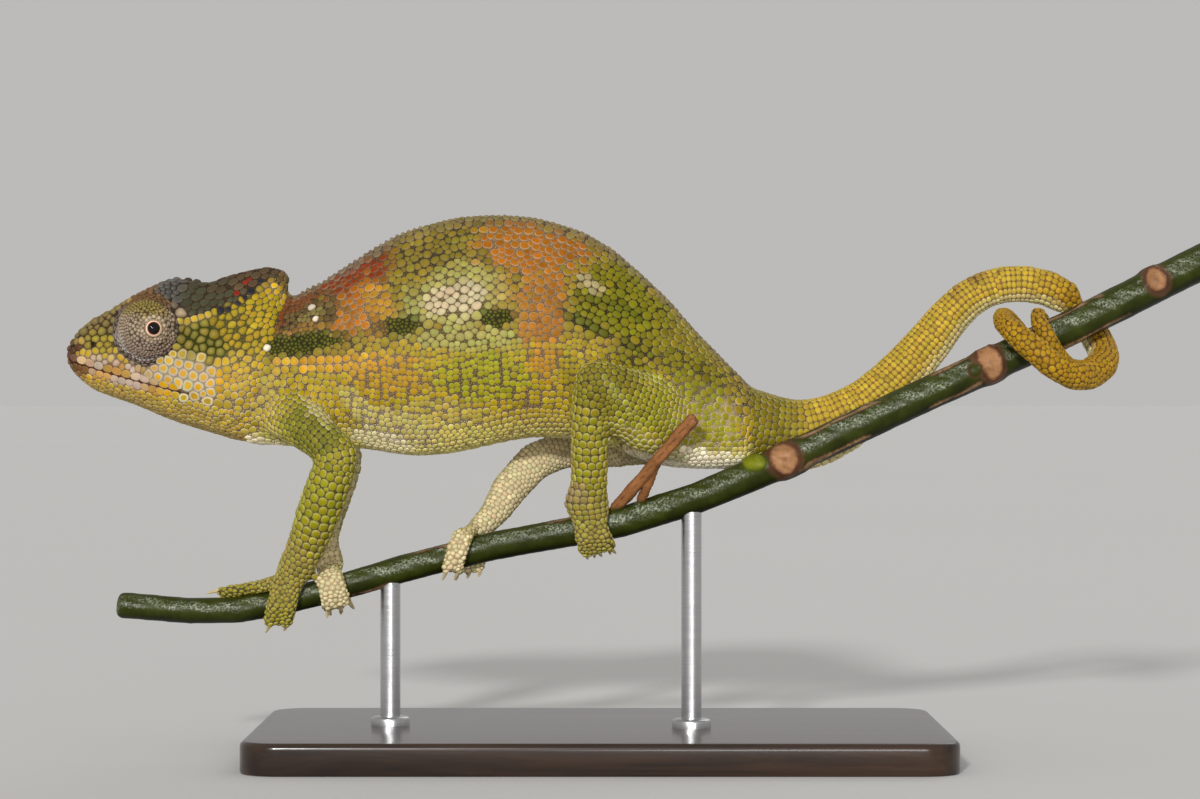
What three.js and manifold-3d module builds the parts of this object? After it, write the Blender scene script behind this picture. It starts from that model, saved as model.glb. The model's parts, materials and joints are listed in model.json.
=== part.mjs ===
// A life-size chameleon on a cut length of stem, held over a flat base by two rods.
// Millimetres, +Z up. The head points to -X, the animal's left flank faces -Y, and the
// origin is the middle of the underside of the base.

import * as THREE from 'three';
import { mergeVertices } from 'three/addons/utils/BufferGeometryUtils.js';
import Module from 'manifold-3d';

const wasm = await Module();
wasm.setup();

// ---------------------------------------------------------------- driving dimensions

const GAP = 0.3; // clear space between neighbouring pieces
const TRUNK_SIDES = 20;
const HEAD_SIDES = 20;
const LIMB_SIDES = 8;
const TOE_SIDES = 6;
const STEM_SIDES = 8;

const SNOUT_X = -85.3; // tip of the snout
const OCCIPUT_X = -48.6; // rear corner of the casque
const TRUNK_END_X = 24; // where the tail starts
const WAIST_X = -14; // trunk_front meets trunk_rear here

const SKULL_TILT = new THREE.Vector3(-0.961, 0, 0.276); // normal of the slanted neck planes
const SKULL_PLANE = 68.5; // head | neck
const SHOULDER_PLANE = 63.5; // neck | trunk

const EYE = { x: -71.7, y: 4.5, z: 68.2, backward: 0.32, radius: 5.05, height: 5.1 };
const EYEBALL_RADIUS = 2;
const EYEBALL_PROUD = 0.12; // how far the ball stands out of the lids

const BASE = { long: 110, wide: 60, high: 5, corner: 6 };
const ROD_RADIUS = 1.6;
const ROD_AT = [-33.5, 14.5];

const STEM_START_X = -77;
const STEM_END_X = 97.5;

// ---------------------------------------------------------------- materials

function paint(color, roughness, metalness = 0) {
  return new THREE.MeshStandardMaterial({ color, roughness, metalness });
}

const FLESH = {
  head: paint(0xb7a24a, 0.7),
  casque: paint(0x8c8a50, 0.7),
  trunk: paint(0xaa9c46, 0.7),
  limb: paint(0x9a9a38, 0.7),
  tail: paint(0xb4954a, 0.7),
  turret: paint(0x8f7f66, 0.75),
};
const EYEBALL = paint(0x1a1410, 0.1);
const CLAW = paint(0xcdbf9a, 0.4);
const BARK = paint(0x39482b, 0.45);
const STAND = paint(0x26262a, 0.4);
const ROD = paint(0x9a9ca0, 0.3, 1);

// ---------------------------------------------------------------- curves and lofts

// A smooth function of one number through a few [x, value] pairs, level past both ends.
function profile(pairs) {
  const last = pairs.length - 1;
  const rise = (i) => (pairs[i + 1][1] - pairs[i][1]) / (pairs[i + 1][0] - pairs[i][0]);
  const slope = pairs.map((pair, i) => {
    if (i === 0) return rise(0);
    if (i === last) return rise(last - 1);
    const before = rise(i - 1);
    const after = rise(i);
    return before * after <= 0 ? 0 : (2 * before * after) / (before + after);
  });
  return (x) => {
    if (x <= pairs[0][0]) return pairs[0][1];
    if (x >= pairs[last][0]) return pairs[last][1];
    let i = 0;
    while (x > pairs[i + 1][0]) i += 1;
    const span = pairs[i + 1][0] - pairs[i][0];
    const t = (x - pairs[i][0]) / span;
    const square = t * t;
    const cube = square * t;
    return (2 * cube - 3 * square + 1) * pairs[i][1]
      + (cube - 2 * square + t) * span * slope[i]
      + (3 * square - 2 * cube) * pairs[i + 1][1]
      + (cube - square) * span * slope[i + 1];
  };
}

function steps(from, to, count) {
  return Array.from({ length: count }, (_, i) => from + ((to - from) * i) / (count - 1));
}

// A closed skin over rings of equal point counts, each end shut by a fan.
function loft(rings) {
  const sides = rings[0].length;
  const points = rings.flat();
  const middle = (ring) => ring.reduce((sum, p) => sum.add(p), new THREE.Vector3())
    .divideScalar(sides);
  const first = points.push(middle(rings[0])) - 1;
  const final = points.push(middle(rings[rings.length - 1])) - 1;
  const faces = [];
  for (let r = 0; r < rings.length - 1; r += 1) {
    for (let k = 0; k < sides; k += 1) {
      const a = r * sides + k;
      const b = r * sides + ((k + 1) % sides);
      faces.push(a, b, a + sides, b, b + sides, a + sides);
    }
  }
  const top = (rings.length - 1) * sides;
  for (let k = 0; k < sides; k += 1) {
    const next = (k + 1) % sides;
    faces.push(first, next, k, final, top + k, top + next);
  }
  const geometry = new THREE.BufferGeometry();
  geometry.setAttribute('position',
    new THREE.Float32BufferAttribute(points.flatMap((p) => p.toArray()), 3));
  geometry.setIndex(faces);
  return geometry;
}

function solid(geometry) {
  const bare = geometry.clone();
  bare.deleteAttribute('normal');
  bare.deleteAttribute('uv');
  const closed = mergeVertices(bare, 1e-4);
  const vertProperties = closed.attributes.position.array;
  const triVerts = Uint32Array.from(closed.index.array);
  let signed = 0;
  const corner = (i) => new THREE.Vector3().fromArray(vertProperties, 3 * triVerts[i]);
  for (let i = 0; i < triVerts.length; i += 3) {
    signed += corner(i).dot(corner(i + 1).cross(corner(i + 2)));
  }
  if (signed < 0) triVerts.reverse();
  return new wasm.Manifold(new wasm.Mesh({ numProp: 3, vertProperties, triVerts }));
}

// The ring of a slanted tube: high lies in the upright plane, wide across it.
function ring(centre, along, upward, high, wide, sides) {
  const up = upward.clone().addScaledVector(along, -upward.dot(along)).normalize();
  const across = new THREE.Vector3().crossVectors(along, up);
  return Array.from({ length: sides }, (_, k) => {
    const angle = (2 * Math.PI * k) / sides;
    return centre.clone()
      .addScaledVector(up, Math.cos(angle) * high)
      .addScaledVector(across, Math.sin(angle) * wide);
  });
}

// A route is a list of rows { at, high, wide, up } that a tube follows smoothly.
function route(rows) {
  const spine = new THREE.CatmullRomCurve3(rows.map((row) => row.at), false, 'centripetal');
  const last = rows.length - 1;
  const blend = (key, t) => {
    const place = Math.min(Math.max(t * last, 0), last);
    const i = Math.min(Math.floor(place), last - 1);
    return THREE.MathUtils.lerp(rows[i][key], rows[i + 1][key], place - i);
  };
  const upAt = (t) => {
    const place = Math.min(Math.max(t * last, 0), last);
    const i = Math.min(Math.floor(place), last - 1);
    return rows[i].up.clone().lerp(rows[i + 1].up, place - i);
  };
  return {
    point: (t) => spine.getPoint(t),
    along: (t) => spine.getTangent(t),
    speed: (t) => spine.getPoint(Math.min(t + 0.005, 1))
      .distanceTo(spine.getPoint(Math.max(t - 0.005, 0))) / 0.01,
    high: (t) => blend('high', t),
    wide: (t) => blend('wide', t),
    up: upAt,
    at: (index) => index / last,
  };
}

const ROUND_STEPS = [1.15, 0.65]; // turns, in radians, of the rings that round off an end
const ROUND_ONCE = [0.9];

// A tube along a route from one place to another. grow makes it fatter all over.
function tube(path, { from = 0, to = 1, count, sides, grow = 0, roundStart, roundEnd }) {
  const turns = sides <= TOE_SIDES ? ROUND_ONCE : ROUND_STEPS;
  const rings = [];
  const end = (t, sign, angle) => {
    const along = path.along(t);
    const high = path.high(t) + grow;
    const wide = path.wide(t) + grow;
    const centre = path.point(t)
      .addScaledVector(along, sign * Math.sin(angle) * Math.min(high, wide));
    return ring(centre, along, path.up(t), high * Math.cos(angle), wide * Math.cos(angle), sides);
  };
  if (roundStart) turns.forEach((angle) => rings.push(end(from, -1, angle)));
  steps(from, to, count).forEach((t) => rings.push(end(t, 0, 0)));
  if (roundEnd) [...turns].reverse().forEach((angle) => rings.push(end(to, 1, angle)));
  return solid(loft(rings));
}

function row(x, y, z, high, wide, up = new THREE.Vector3(0, 0, 1)) {
  return { at: new THREE.Vector3(x, y, z), high, wide, up };
}

// ---------------------------------------------------------------- the stem

const stemRoute = route([
  row(-80, 0.6, 24.4, 1.9, 1.9),
  row(-66, 0.6, 23.2, 1.9, 1.9),
  row(-57, 0.4, 23.4, 1.9, 1.9),
  row(-49, 0.1, 25, 1.95, 1.95),
  row(-36, -0.2, 28.6, 2, 2),
  row(-22, -0.5, 32.6, 2.1, 2.1),
  row(2.4, -2.2, 37.2, 2.25, 2.25),
  row(17, -4.7, 42, 2.35, 2.35),
  row(30, -6.4, 47.7, 2.5, 2.5),
  row(44.4, -6.6, 54.5, 2.55, 2.55),
  row(60.1, -5.8, 61.7, 2.6, 2.6),
  row(73, -4.4, 67.6, 2.65, 2.65),
  row(100, -2, 81, 2.7, 2.7),
]);

// The place on the stem's axis that has the given x, found by halving.
function stemAt(x) {
  let low = 0;
  let high = 1;
  for (let i = 0; i < 40; i += 1) {
    const middle = (low + high) / 2;
    if (stemRoute.point(middle).x < x) low = middle;
    else high = middle;
  }
  return (low + high) / 2;
}

// The stem's own axes at x: along it, square to it upwards, and to the +Y side.
function stemFrame(x) {
  const t = stemAt(x);
  const along = stemRoute.along(t);
  const up = new THREE.Vector3(0, 0, 1).addScaledVector(along, -along.z).normalize();
  const side = new THREE.Vector3().crossVectors(up, along);
  return { centre: stemRoute.point(t), along, up, side, radius: stemRoute.high(t) };
}

function stemSolid(grow) {
  return tube(stemRoute, {
    from: stemAt(STEM_START_X), to: stemAt(STEM_END_X), count: 15, sides: STEM_SIDES, grow,
  });
}

function blob(x, y, z, sizes, slant) {
  const geometry = new THREE.SphereGeometry(1, 6, 4);
  geometry.scale(...sizes);
  geometry.rotateY(-slant);
  geometry.translate(x, y, z);
  return solid(geometry);
}

// Swellings where leaves once grew, one green bud, and a dead leaf stalk with its fork.
function perch() {
  const slant = Math.atan(0.46);
  const stalk = tube(route([
    row(1.6, -3.1, 38.6, 0.8, 0.8), row(8.4, -8.4, 46.8, 0.95, 0.8), row(14.6, -12.4, 54, 0.9, 0.7),
  ]), { count: 3, sides: 5 });
  const fork = tube(route([row(5.6, -3.6, 38.6, 0.6, 0.6), row(9, -8.4, 47.2, 0.55, 0.55)]),
    { count: 2, sides: 5 });
  return stemSolid(0)
    .add(blob(29.8, -6, 47.5, [4.4, 3, 3.2], slant))
    .add(blob(24.9, -6.4, 46.6, [2.2, 1.4, 1.5], slant))
    .add(blob(61.6, -5.7, 62.4, [3.2, 3, 3.4], slant))
    .add(blob(88, -3, 75.4, [2.6, 2.9, 3.1], slant))
    .add(stalk)
    .add(fork);
}

// ---------------------------------------------------------------- head

// Every outline of the head is a function of the distance behind the tip of the snout.
const HEAD = {
  crown: profile([[0, 65], [1, 66.8], [2, 68.1], [4.4, 69.8], [6.7, 70.9], [9.9, 73], [12.7, 74.4],
    [15.5, 75.9], [18, 76.5], [20, 76.3], [22, 75.7], [24.7, 76.6], [28.2, 77.6], [32.2, 78.4],
    [34.7, 78], [36.5, 76]]),
  crownWide: profile([[0, 0.3], [4, 1.5], [12, 2.6], [18, 1.6], [22, 0.9], [36.5, 0.7]]),
  crestY: profile([[0, 0.7], [2, 1.9], [6.7, 3.1], [10, 4.2], [13, 4.8], [15.5, 5.3], [17.5, 5.9],
    [19.5, 6.2], [23, 6], [27, 5.1], [31, 3.8], [33.5, 2.7], [36.5, 1.9]]),
  crestZ: profile([[0, 64.8], [2, 67.3], [6.7, 70.2], [10, 72.3], [13, 73.7], [15.5, 73.9],
    [17.5, 71.2], [19.5, 69.5], [23, 70.3], [27, 72], [31, 74.3], [33.5, 76.3], [36.5, 75]]),
  templeY: profile([[0, 0.9], [3, 2.4], [7, 3.2], [12, 3.7], [17, 4.6], [20, 5.7], [27, 5.9],
    [36.5, 6]]),
  templeZ: profile([[0, 64.4], [3, 66.2], [7, 67.5], [13, 68.2], [20, 65.6], [27, 66], [36.5, 67]]),
  cheekY: profile([[0, 1], [1.2, 2.3], [3, 3.2], [6, 4.2], [12.8, 5.7], [19, 6.7], [25, 7.2],
    [30, 7.2], [36.5, 6.8]]),
  cheekZ: profile([[0, 64], [6, 63.4], [12.8, 62.2], [19, 60.4], [25, 59.6], [36.5, 59]]),
  jawY: profile([[0, 0.8], [1.2, 1.8], [3, 2.6], [7, 3.6], [12.8, 4.7], [19, 5.3], [25, 5.5],
    [36.5, 5]]),
  jawZ: profile([[0, 63.4], [1.3, 62], [4, 60.4], [7, 59.6], [12.8, 57.7], [19, 55.3], [25, 53.5],
    [36.5, 51.4]]),
  throat: profile([[0, 62.9], [1.3, 60.9], [3.9, 58.6], [7.2, 57.2], [11.1, 55.9], [15.5, 54],
    [19.1, 52.7], [23.1, 51.5], [27.1, 50.3], [31.5, 49.2], [36.5, 49.2]]),
};

function headRing(back) {
  const x = SNOUT_X + back;
  const half = [
    [HEAD.crownWide(back), HEAD.crown(back) - 0.1],
    [HEAD.crestY(back), HEAD.crestZ(back)],
    [HEAD.templeY(back), HEAD.templeZ(back)],
    [HEAD.cheekY(back), HEAD.cheekZ(back)],
    [HEAD.jawY(back), HEAD.jawZ(back)],
  ];
  const right = half.map(([y, z]) => new THREE.Vector3(x, y, z));
  const left = half.map(([y, z]) => new THREE.Vector3(x, -y, z)).reverse();
  const top = new THREE.Vector3(x, 0, HEAD.crown(back));
  const bottom = new THREE.Vector3(x, 0, HEAD.throat(back));
  const loop = new THREE.CatmullRomCurve3([top, ...right, bottom, ...left], true, 'centripetal');
  return Array.from({ length: HEAD_SIDES }, (_, k) => loop.getPoint(k / HEAD_SIDES));
}

function headWhole() {
  const snout = [0, 0.4, 1.2, 2.5];
  const rest = steps(4.2, OCCIPUT_X - SNOUT_X, 15);
  return solid(loft([...snout, ...rest].map(headRing)));
}

// A block across the head, below the line of the mouth and in front of the jaw's hinge.
function jawBlock(clearance) {
  const lips = [[-88, 65.2], [-85, 63.75], [-81.9, 62.4], [-75.2, 60.4], [-66.6, 58.2]];
  const hinge = [[-61.5, 50], [-60, 44], [-88, 44]];
  const outline = [
    ...lips.map(([x, z]) => new THREE.Vector2(x, z + clearance)),
    ...hinge.map(([x, z]) => new THREE.Vector2(x + clearance * 1.2, z)),
  ];
  const geometry = new THREE.ExtrudeGeometry(new THREE.Shape(outline),
    { depth: 24, bevelEnabled: false });
  geometry.rotateX(Math.PI / 2);
  geometry.translate(0, 12, 0);
  return solid(geometry);
}

// ---------------------------------------------------------------- eyes

function placedAtEye(geometry, side) {
  if (side < 0) geometry.rotateX(Math.PI);
  geometry.rotateZ(-side * EYE.backward);
  geometry.translate(EYE.x, side * EYE.y, EYE.z);
  return solid(geometry);
}

// A lidded cone of an eye: a dome that flattens towards the small opening.
function turret(side, grow) {
  const dome = [0, 0.3, 0.58, 0.8, 0.94].map((share) => new THREE.Vector2(
    (EYE.radius + grow) * (1 - share ** 2.1) ** 0.62,
    (EYE.height + grow) * share,
  ));
  const outline = [
    new THREE.Vector2(0, -3 - grow),
    new THREE.Vector2(EYE.radius * 0.86 + grow, -3 - grow),
    ...dome,
    new THREE.Vector2(0, EYE.height + grow),
  ];
  return placedAtEye(new THREE.LatheGeometry(outline, 12), side);
}

function eyeball(side, grow) {
  const ball = new THREE.SphereGeometry(EYEBALL_RADIUS + grow, 8, 6);
  ball.translate(0, EYE.height + EYEBALL_PROUD - EYEBALL_RADIUS, 0);
  return placedAtEye(ball, side);
}

// ---------------------------------------------------------------- neck and trunk

const TRUNK = {
  back: profile([[-60, 68], [-54, 71.2], [-48.6, 74], [-46.2, 75.2], [-43.5, 76.7], [-38.9, 79.9],
    [-32, 84], [-27.5, 85.5], [-23, 86.6], [-17, 87.1], [-12, 86.8], [-6.6, 85.6], [-1.4, 83.8],
    [2.9, 81], [7, 77.3], [11.2, 73.3], [15, 68.8], [18.7, 65], [23, 60.4], [26, 58.2]]),
  belly: profile([[-60, 50.2], [-50, 49.2], [-38, 49], [-34, 48], [-29, 47.7], [-24, 48],
    [-15.8, 49.8], [-9.8, 50.7], [-3, 50.2], [3, 48.6], [7, 46.9], [13.8, 45.6], [18, 45.6],
    [26, 45.6]]),
  wide: profile([[-60, 6.2], [-54, 6.2], [-48, 6.9], [-42, 8], [-36, 8.8], [-28, 9.4], [-12, 9.6],
    [0, 9.2], [8, 8.2], [15, 7.1], [20, 6.2], [26, 5.2]]),
  ridge: profile([[-60, 1], [-46, 1.1], [-34, 1.5], [0, 1.5], [14, 1.2], [24, 1]]),
};
const WIDEST = 0.4; // height of the widest place, as a share of the depth
const BELLY_FULLNESS = 0.85;

function trunkRing(x, grow) {
  const top = TRUNK.back(x);
  const bottom = TRUNK.belly(x);
  const middle = bottom + WIDEST * (top - bottom);
  return Array.from({ length: TRUNK_SIDES }, (_, k) => {
    const angle = (2 * Math.PI * k) / TRUNK_SIDES;
    const upper = Math.sin(angle) > 0;
    const reach = (upper ? top - middle : middle - bottom) + grow;
    const power = upper ? TRUNK.ridge(x) : BELLY_FULLNESS;
    const swing = Math.cos(angle);
    const y = Math.sign(swing) * Math.abs(swing) ** power * (TRUNK.wide(x) + grow);
    return new THREE.Vector3(x, y, middle + Math.sin(angle) * reach);
  });
}

function trunkWhole(grow) {
  return solid(loft(steps(-58, TRUNK_END_X, 20).map((x) => trunkRing(x, grow))));
}

// The part of a solid on the tail's side of a slanted neck plane, or on the head's side.
const behind = (body, plane) => body.trimByPlane(
  SKULL_TILT.clone().negate().toArray(), -(plane - GAP / 2));
const before = (body, plane) => body.trimByPlane(SKULL_TILT.toArray(), plane + GAP / 2);

// ---------------------------------------------------------------- tail

// From the rump the tail dips, rises in an arch and comes down behind the stem.
const TAIL_RISE = [
  [20, 0.6, 53.2, 7, 5.6], [24.6, 1.2, 52.2, 6.5, 5], [28.5, 1.8, 51.4, 6.1, 4.4],
  [33.2, 2.2, 51.3, 5.9, 4.1], [38, 2.3, 53, 5.2, 3.9], [42.9, 2.3, 56, 4.6, 3.7],
  [48, 2.3, 60.6, 4.1, 3.5], [52.4, 2.3, 65.6, 3.8, 3.3], [56, 2.3, 70.1, 3.5, 3.1],
  [59.2, 2.2, 73.2, 3.25, 3], [62.7, 2.1, 75, 3.1, 2.9], [66.6, 2, 75.6, 3.1, 2.8],
  [71.2, 1.9, 75.1, 3.05, 2.8], [75.2, 1.8, 73, 2.95, 2.7],
];

// Then it winds round the stem. Each value is a function of the turn in degrees about the
// stem's axis: 90 is behind it, 180 below, 270 in front and 360 above.
const COIL = {
  from: 96,
  to: 772,
  step: 22,
  stemX: 72.4,
  along: profile([[96, 7], [150, 6.5], [180, 5], [215, -0.4], [270, -6.2], [325, -7.9],
    [360, -6.4], [410, -4.7], [450, -4], [540, -2.3], [565, -1.4], [620, -2.6], [675, -2.5],
    [720, -1.2], [772, 0.4]]),
  away: profile([[96, 6], [150, 6.6], [180, 7.3], [215, 8.9], [240, 9.6], [270, 8.5], [325, 6.9],
    [360, 6.2],
    [410, 5.2], [450, 4.85], [540, 4.7], [620, 4.7], [675, 4.4], [720, 4.2], [772, 3.9]]),
  thick: profile([[96, 2.85], [180, 2.75], [215, 2.65], [270, 2.4], [325, 2], [360, 1.88],
    [450, 1.8], [540, 1.78], [620, 1.72], [675, 1.55], [720, 1.3], [772, 0.6]]),
};

function coilRow(turn) {
  const { centre, along, up, side } = stemFrame(COIL.stemX);
  const angle = THREE.MathUtils.degToRad(turn);
  const outward = up.clone().multiplyScalar(Math.cos(angle))
    .addScaledVector(side, Math.sin(angle));
  const at = centre.clone()
    .addScaledVector(along, COIL.along(turn))
    .addScaledVector(outward, COIL.away(turn));
  return { at, high: COIL.thick(turn), wide: COIL.thick(turn) * 0.94, up: outward };
}

function tailRoute() {
  const rise = TAIL_RISE.map(([x, y, z, high, wide], i) => {
    const next = TAIL_RISE[Math.min(i + 1, TAIL_RISE.length - 1)];
    const prior = TAIL_RISE[Math.max(i - 1, 0)];
    const up = new THREE.Vector3(prior[2] - next[2], 0, next[0] - prior[0]).normalize();
    return row(x, y, z, high, wide, up);
  });
  const coil = [];
  for (let turn = COIL.from; turn <= COIL.to; turn += COIL.step) coil.push(coilRow(turn));
  return route([...rise, ...coil]);
}

// Names of the lengths of the tail, and the row of the route at which each one ends.
const TAIL_LENGTHS = [
  ['tail_base', 5, 8, 12], ['tail_rise', 8, 5, 11], ['tail_arch', 13, 7, 11],
  ['tail_turn_1', 21, 9, 8], ['tail_turn_2', 29, 8, 9], ['tail_turn_3', 37, 8, 8],
  ['tail_tip', 44, 7, 7],
];

function tailPieces() {
  const path = tailRoute();
  let start = 0;
  return TAIL_LENGTHS.map(([name, end, count, sides], i) => {
    const last = i === TAIL_LENGTHS.length - 1;
    const trim = (t) => GAP / 2 / path.speed(t);
    const from = i === 0 ? 0 : start + trim(start);
    const to = last ? 1 : path.at(end) - trim(path.at(end));
    start = path.at(end);
    const piece = tube(path, { from, to, count, sides, roundEnd: last });
    const clear = i === 0 ? piece.trimByPlane([1, 0, 0], TRUNK_END_X + GAP) : piece;
    return [name, clear];
  });
}

// ---------------------------------------------------------------- legs

// Rows are [x, y, z, half thickness in the upright plane, half thickness across it], for the
// animal's own side: y is the distance out from the middle plane.
const LEGS = [
  {
    name: 'front_left',
    side: -1,
    upper: [[-53, 2.4, 56.6, 4.5, 2.6], [-48.2, 7, 54, 4.2, 3.1], [-43.8, 9.6, 50.8, 3.5, 2.9],
      [-40.6, 11, 48.2, 3.2, 2.8]],
    lower: [[-40.8, 11, 47.8, 3.2, 2.9], [-42.6, 9.8, 43.6, 3.8, 3.2], [-44.6, 7.6, 38.4, 3.6, 3],
      [-46.8, 5.2, 33, 3.3, 2.6]],
    foot: [[-46.8, 5.2, 33, 3.2, 2.4], [-48.3, 3.6, 30.4, 3.1, 2.3], [-49.4, 2.4, 28.6, 2.8, 2]],
    gripX: -50,
    bundles: [
      { name: 'outer', side: -1, toes: 2, thick: 1.6, apart: 2.6, run: [1.2, -1.8], turn: [38, 138] },
      { name: 'inner', side: 1, toes: 3, thick: 1.15, apart: 1.6, run: [-1.2, -10.6], turn: [-6, 48] },
    ],
  },
  {
    name: 'front_right',
    side: 1,
    upper: [[-52, 2.4, 56.4, 4.3, 2.6], [-47.6, 7, 53.6, 3.8, 3.1], [-43.8, 9.6, 50.4, 3.2, 2.9],
      [-41.4, 11, 47.8, 3, 2.8]],
    lower: [[-41.6, 11, 47, 3, 2.8], [-42.9, 9.8, 43.4, 3.4, 3.1], [-44.3, 7.4, 38.6, 3.1, 2.9],
      [-44.8, 5, 34.6, 2.7, 2.5]],
    foot: [[-44.8, 5, 34.6, 2.6, 2.4], [-44.1, 3.4, 32, 2.7, 2.2], [-43.2, 2.2, 30.2, 2.6, 1.9]],
    gripX: -43,
    bundles: [
      { name: 'outer', side: 1, toes: 2, thick: 1.35, apart: 2.1, run: [0, -0.6], turn: [34, 140] },
      { name: 'inner', side: -1, toes: 3, thick: 1.15, apart: 1.65, run: [0.6, 0.6], turn: [36, 138] },
    ],
  },
  {
    name: 'hind_left',
    side: -1,
    upper: [[19, 1.6, 53.2, 5, 2.4], [11.5, 5.6, 53.2, 7, 3.4], [4.6, 9.6, 56.4, 5.8, 3.3],
      [-0.6, 12, 59.9, 3.9, 2.9]],
    lower: [[-1, 12, 60.2, 3.2, 2.9], [-1.7, 10.6, 54.5, 3.1, 3], [-1.6, 8.4, 48.4, 3.1, 2.8],
      [-1.8, 6.6, 43, 3.1, 2.5]],
    foot: [[-1.8, 6.6, 43, 3.2, 2.3], [-2.2, 5.9, 40.8, 3.9, 2.3], [-1.4, 5.2, 38.4, 3.4, 2.1]],
    gripX: -1.2,
    bundles: [
      { name: 'outer', side: -1, toes: 3, thick: 1.45, apart: 2, run: [0, 0.4], turn: [50, 148] },
      { name: 'inner', side: 1, toes: 2, thick: 1.4, apart: 2.2, run: [0, 0.4], turn: [14, 140] },
    ],
  },
  {
    name: 'hind_right',
    side: 1,
    upper: [[18, 1.6, 52.6, 5, 2.4], [11, 5.6, 51.8, 5.4, 3.3], [4.6, 9.2, 50.2, 4.3, 3.2],
      [-0.4, 11.4, 48.9, 3.4, 2.9]],
    lower: [[-0.6, 11.4, 48.9, 3.3, 2.9], [-5.8, 10.6, 48.9, 3.2, 2.9], [-10.6, 9.2, 47, 3.3, 2.8],
      [-14.6, 7, 42.6, 3.1, 2.6], [-16.9, 5, 38.9, 2.6, 2.3]],
    foot: [[-16.9, 5, 38.9, 2.5, 2.2], [-18.6, 3.2, 37, 2.2, 2.1], [-19.9, 1.6, 35.9, 2, 1.9]],
    gripX: -20.4,
    bundles: [
      { name: 'outer', side: 1, toes: 3, thick: 1.3, apart: 1.85, run: [0, -1.4], turn: [30, 142] },
      { name: 'inner', side: -1, toes: 2, thick: 1.2, apart: 1.9, run: [0, -3.6], turn: [18, 128] },
    ],
  },
];

const SIDEWAYS = new THREE.Vector3(0, 1, 0);

function limb(rows, side, options) {
  const at = ([x, y, z]) => new THREE.Vector3(x, side * y, z);
  const path = route(rows.map((values, i) => {
    const ahead = at(rows[Math.min(i + 1, rows.length - 1)]).sub(at(rows[Math.max(i - 1, 0)]));
    const up = new THREE.Vector3().crossVectors(SIDEWAYS, ahead).normalize();
    return { at: at(values), high: values[3], wide: values[4], up };
  }));
  return tube(path, { sides: LIMB_SIDES, ...options });
}

const CLAW_LONG = 1.7;
const CLAW_THICK = 0.46;
const TOE_TAPER = 0.74; // thickness at the tip, as a share of that at the root

// A toe starts in the palm and runs round the stem, over the stem's unrolled surface.
function toeRoute(leg, bundle, index) {
  const { centre, along, up, side, radius } = stemFrame(leg.gripX);
  const away = radius + GAP + bundle.thick * 0.96;
  const [runFrom, runTo] = bundle.run;
  const [turnFrom, turnTo] = bundle.turn.map(THREE.MathUtils.degToRad);
  const course = new THREE.Vector2(runTo - runFrom, (turnTo - turnFrom) * away).normalize();
  const offset = (index - (bundle.toes - 1) / 2) * bundle.apart;
  const shown = (share) => {
    const spread = offset * (0.72 + 0.28 * share);
    const run = runFrom + (runTo - runFrom) * share + course.y * spread;
    const turn = turnFrom + (turnTo - turnFrom) * share - (course.x * spread) / away;
    const here = stemFrame(leg.gripX + run * along.x);
    const lean = share > 1 ? 0.92 - 0.3 * (share - 1) : 1;
    const reach = (here.radius + GAP + bundle.thick * 0.96) * lean;
    return here.centre.clone()
      .addScaledVector(here.up, Math.cos(turn) * reach)
      .addScaledVector(here.side, Math.sin(turn) * reach * bundle.side);
  };
  const [x, y, z] = leg.foot[leg.foot.length - 1];
  const palm = new THREE.Vector3(x, leg.side * y, z);
  const root = palm.lerp(shown(0), 0.4);
  const outward = shown(0.5).sub(centre).normalize().add(up.clone().multiplyScalar(0.01))
    .addScaledVector(side, 0.01);
  const rows = [root, ...[0.12, 0.4, 0.7, 1].map(shown)].map((at, i) => {
    const thick = bundle.thick * THREE.MathUtils.lerp(1, TOE_TAPER, i / 4);
    return { at, high: thick, wide: thick, up: outward };
  });
  return { path: route(rows), shown };
}

function claw(toe, thick) {
  const tip = toe.shown(1);
  const ahead = toe.path.along(1);
  const inward = toe.shown(1.3).sub(tip).normalize();
  const start = tip.clone().addScaledVector(ahead, thick * 0.9 + GAP / 2);
  const bend = start.clone().addScaledVector(ahead, CLAW_LONG * 0.4)
    .addScaledVector(inward, CLAW_LONG * 0.15);
  const end = bend.clone().addScaledVector(ahead, CLAW_LONG * 0.3)
    .addScaledVector(inward, CLAW_LONG * 0.4);
  const up = new THREE.Vector3(1, 0, 0.01);
  const rows = [[start, 1], [bend, 0.8], [end, 0.42]].map(([at, share]) => (
    { at, high: CLAW_THICK * share, wide: CLAW_THICK * share, up }));
  return tube(route(rows), { count: 3, sides: 4 });
}

// ---------------------------------------------------------------- stand

function standBase() {
  const { long, wide, high, corner } = BASE;
  const outline = new THREE.Shape();
  const x = long / 2 - corner;
  const y = wide / 2 - corner;
  outline.absarc(x, y, corner, 0, Math.PI / 2);
  outline.absarc(-x, y, corner, Math.PI / 2, Math.PI);
  outline.absarc(-x, -y, corner, Math.PI, 1.5 * Math.PI);
  outline.absarc(x, -y, corner, 1.5 * Math.PI, 2 * Math.PI);
  outline.closePath();
  return solid(new THREE.ExtrudeGeometry(outline,
    { depth: high, bevelEnabled: false, curveSegments: 3 }));
}

function standRod(x) {
  const { centre } = stemFrame(x);
  const low = BASE.high + GAP;
  const geometry = new THREE.CylinderGeometry(ROD_RADIUS, ROD_RADIUS, centre.z - low, 12);
  geometry.rotateX(Math.PI / 2);
  geometry.translate(x, centre.y, (centre.z + low) / 2);
  return solid(geometry);
}

// ---------------------------------------------------------------- assembly

const group = new THREE.Group();

// The largest body of a cut solid: slivers that a cut leaves behind it are dropped.
function largest(manifold) {
  return manifold.decompose()
    .reduce((best, body) => (body.volume() > best.volume() ? body : best));
}

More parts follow.
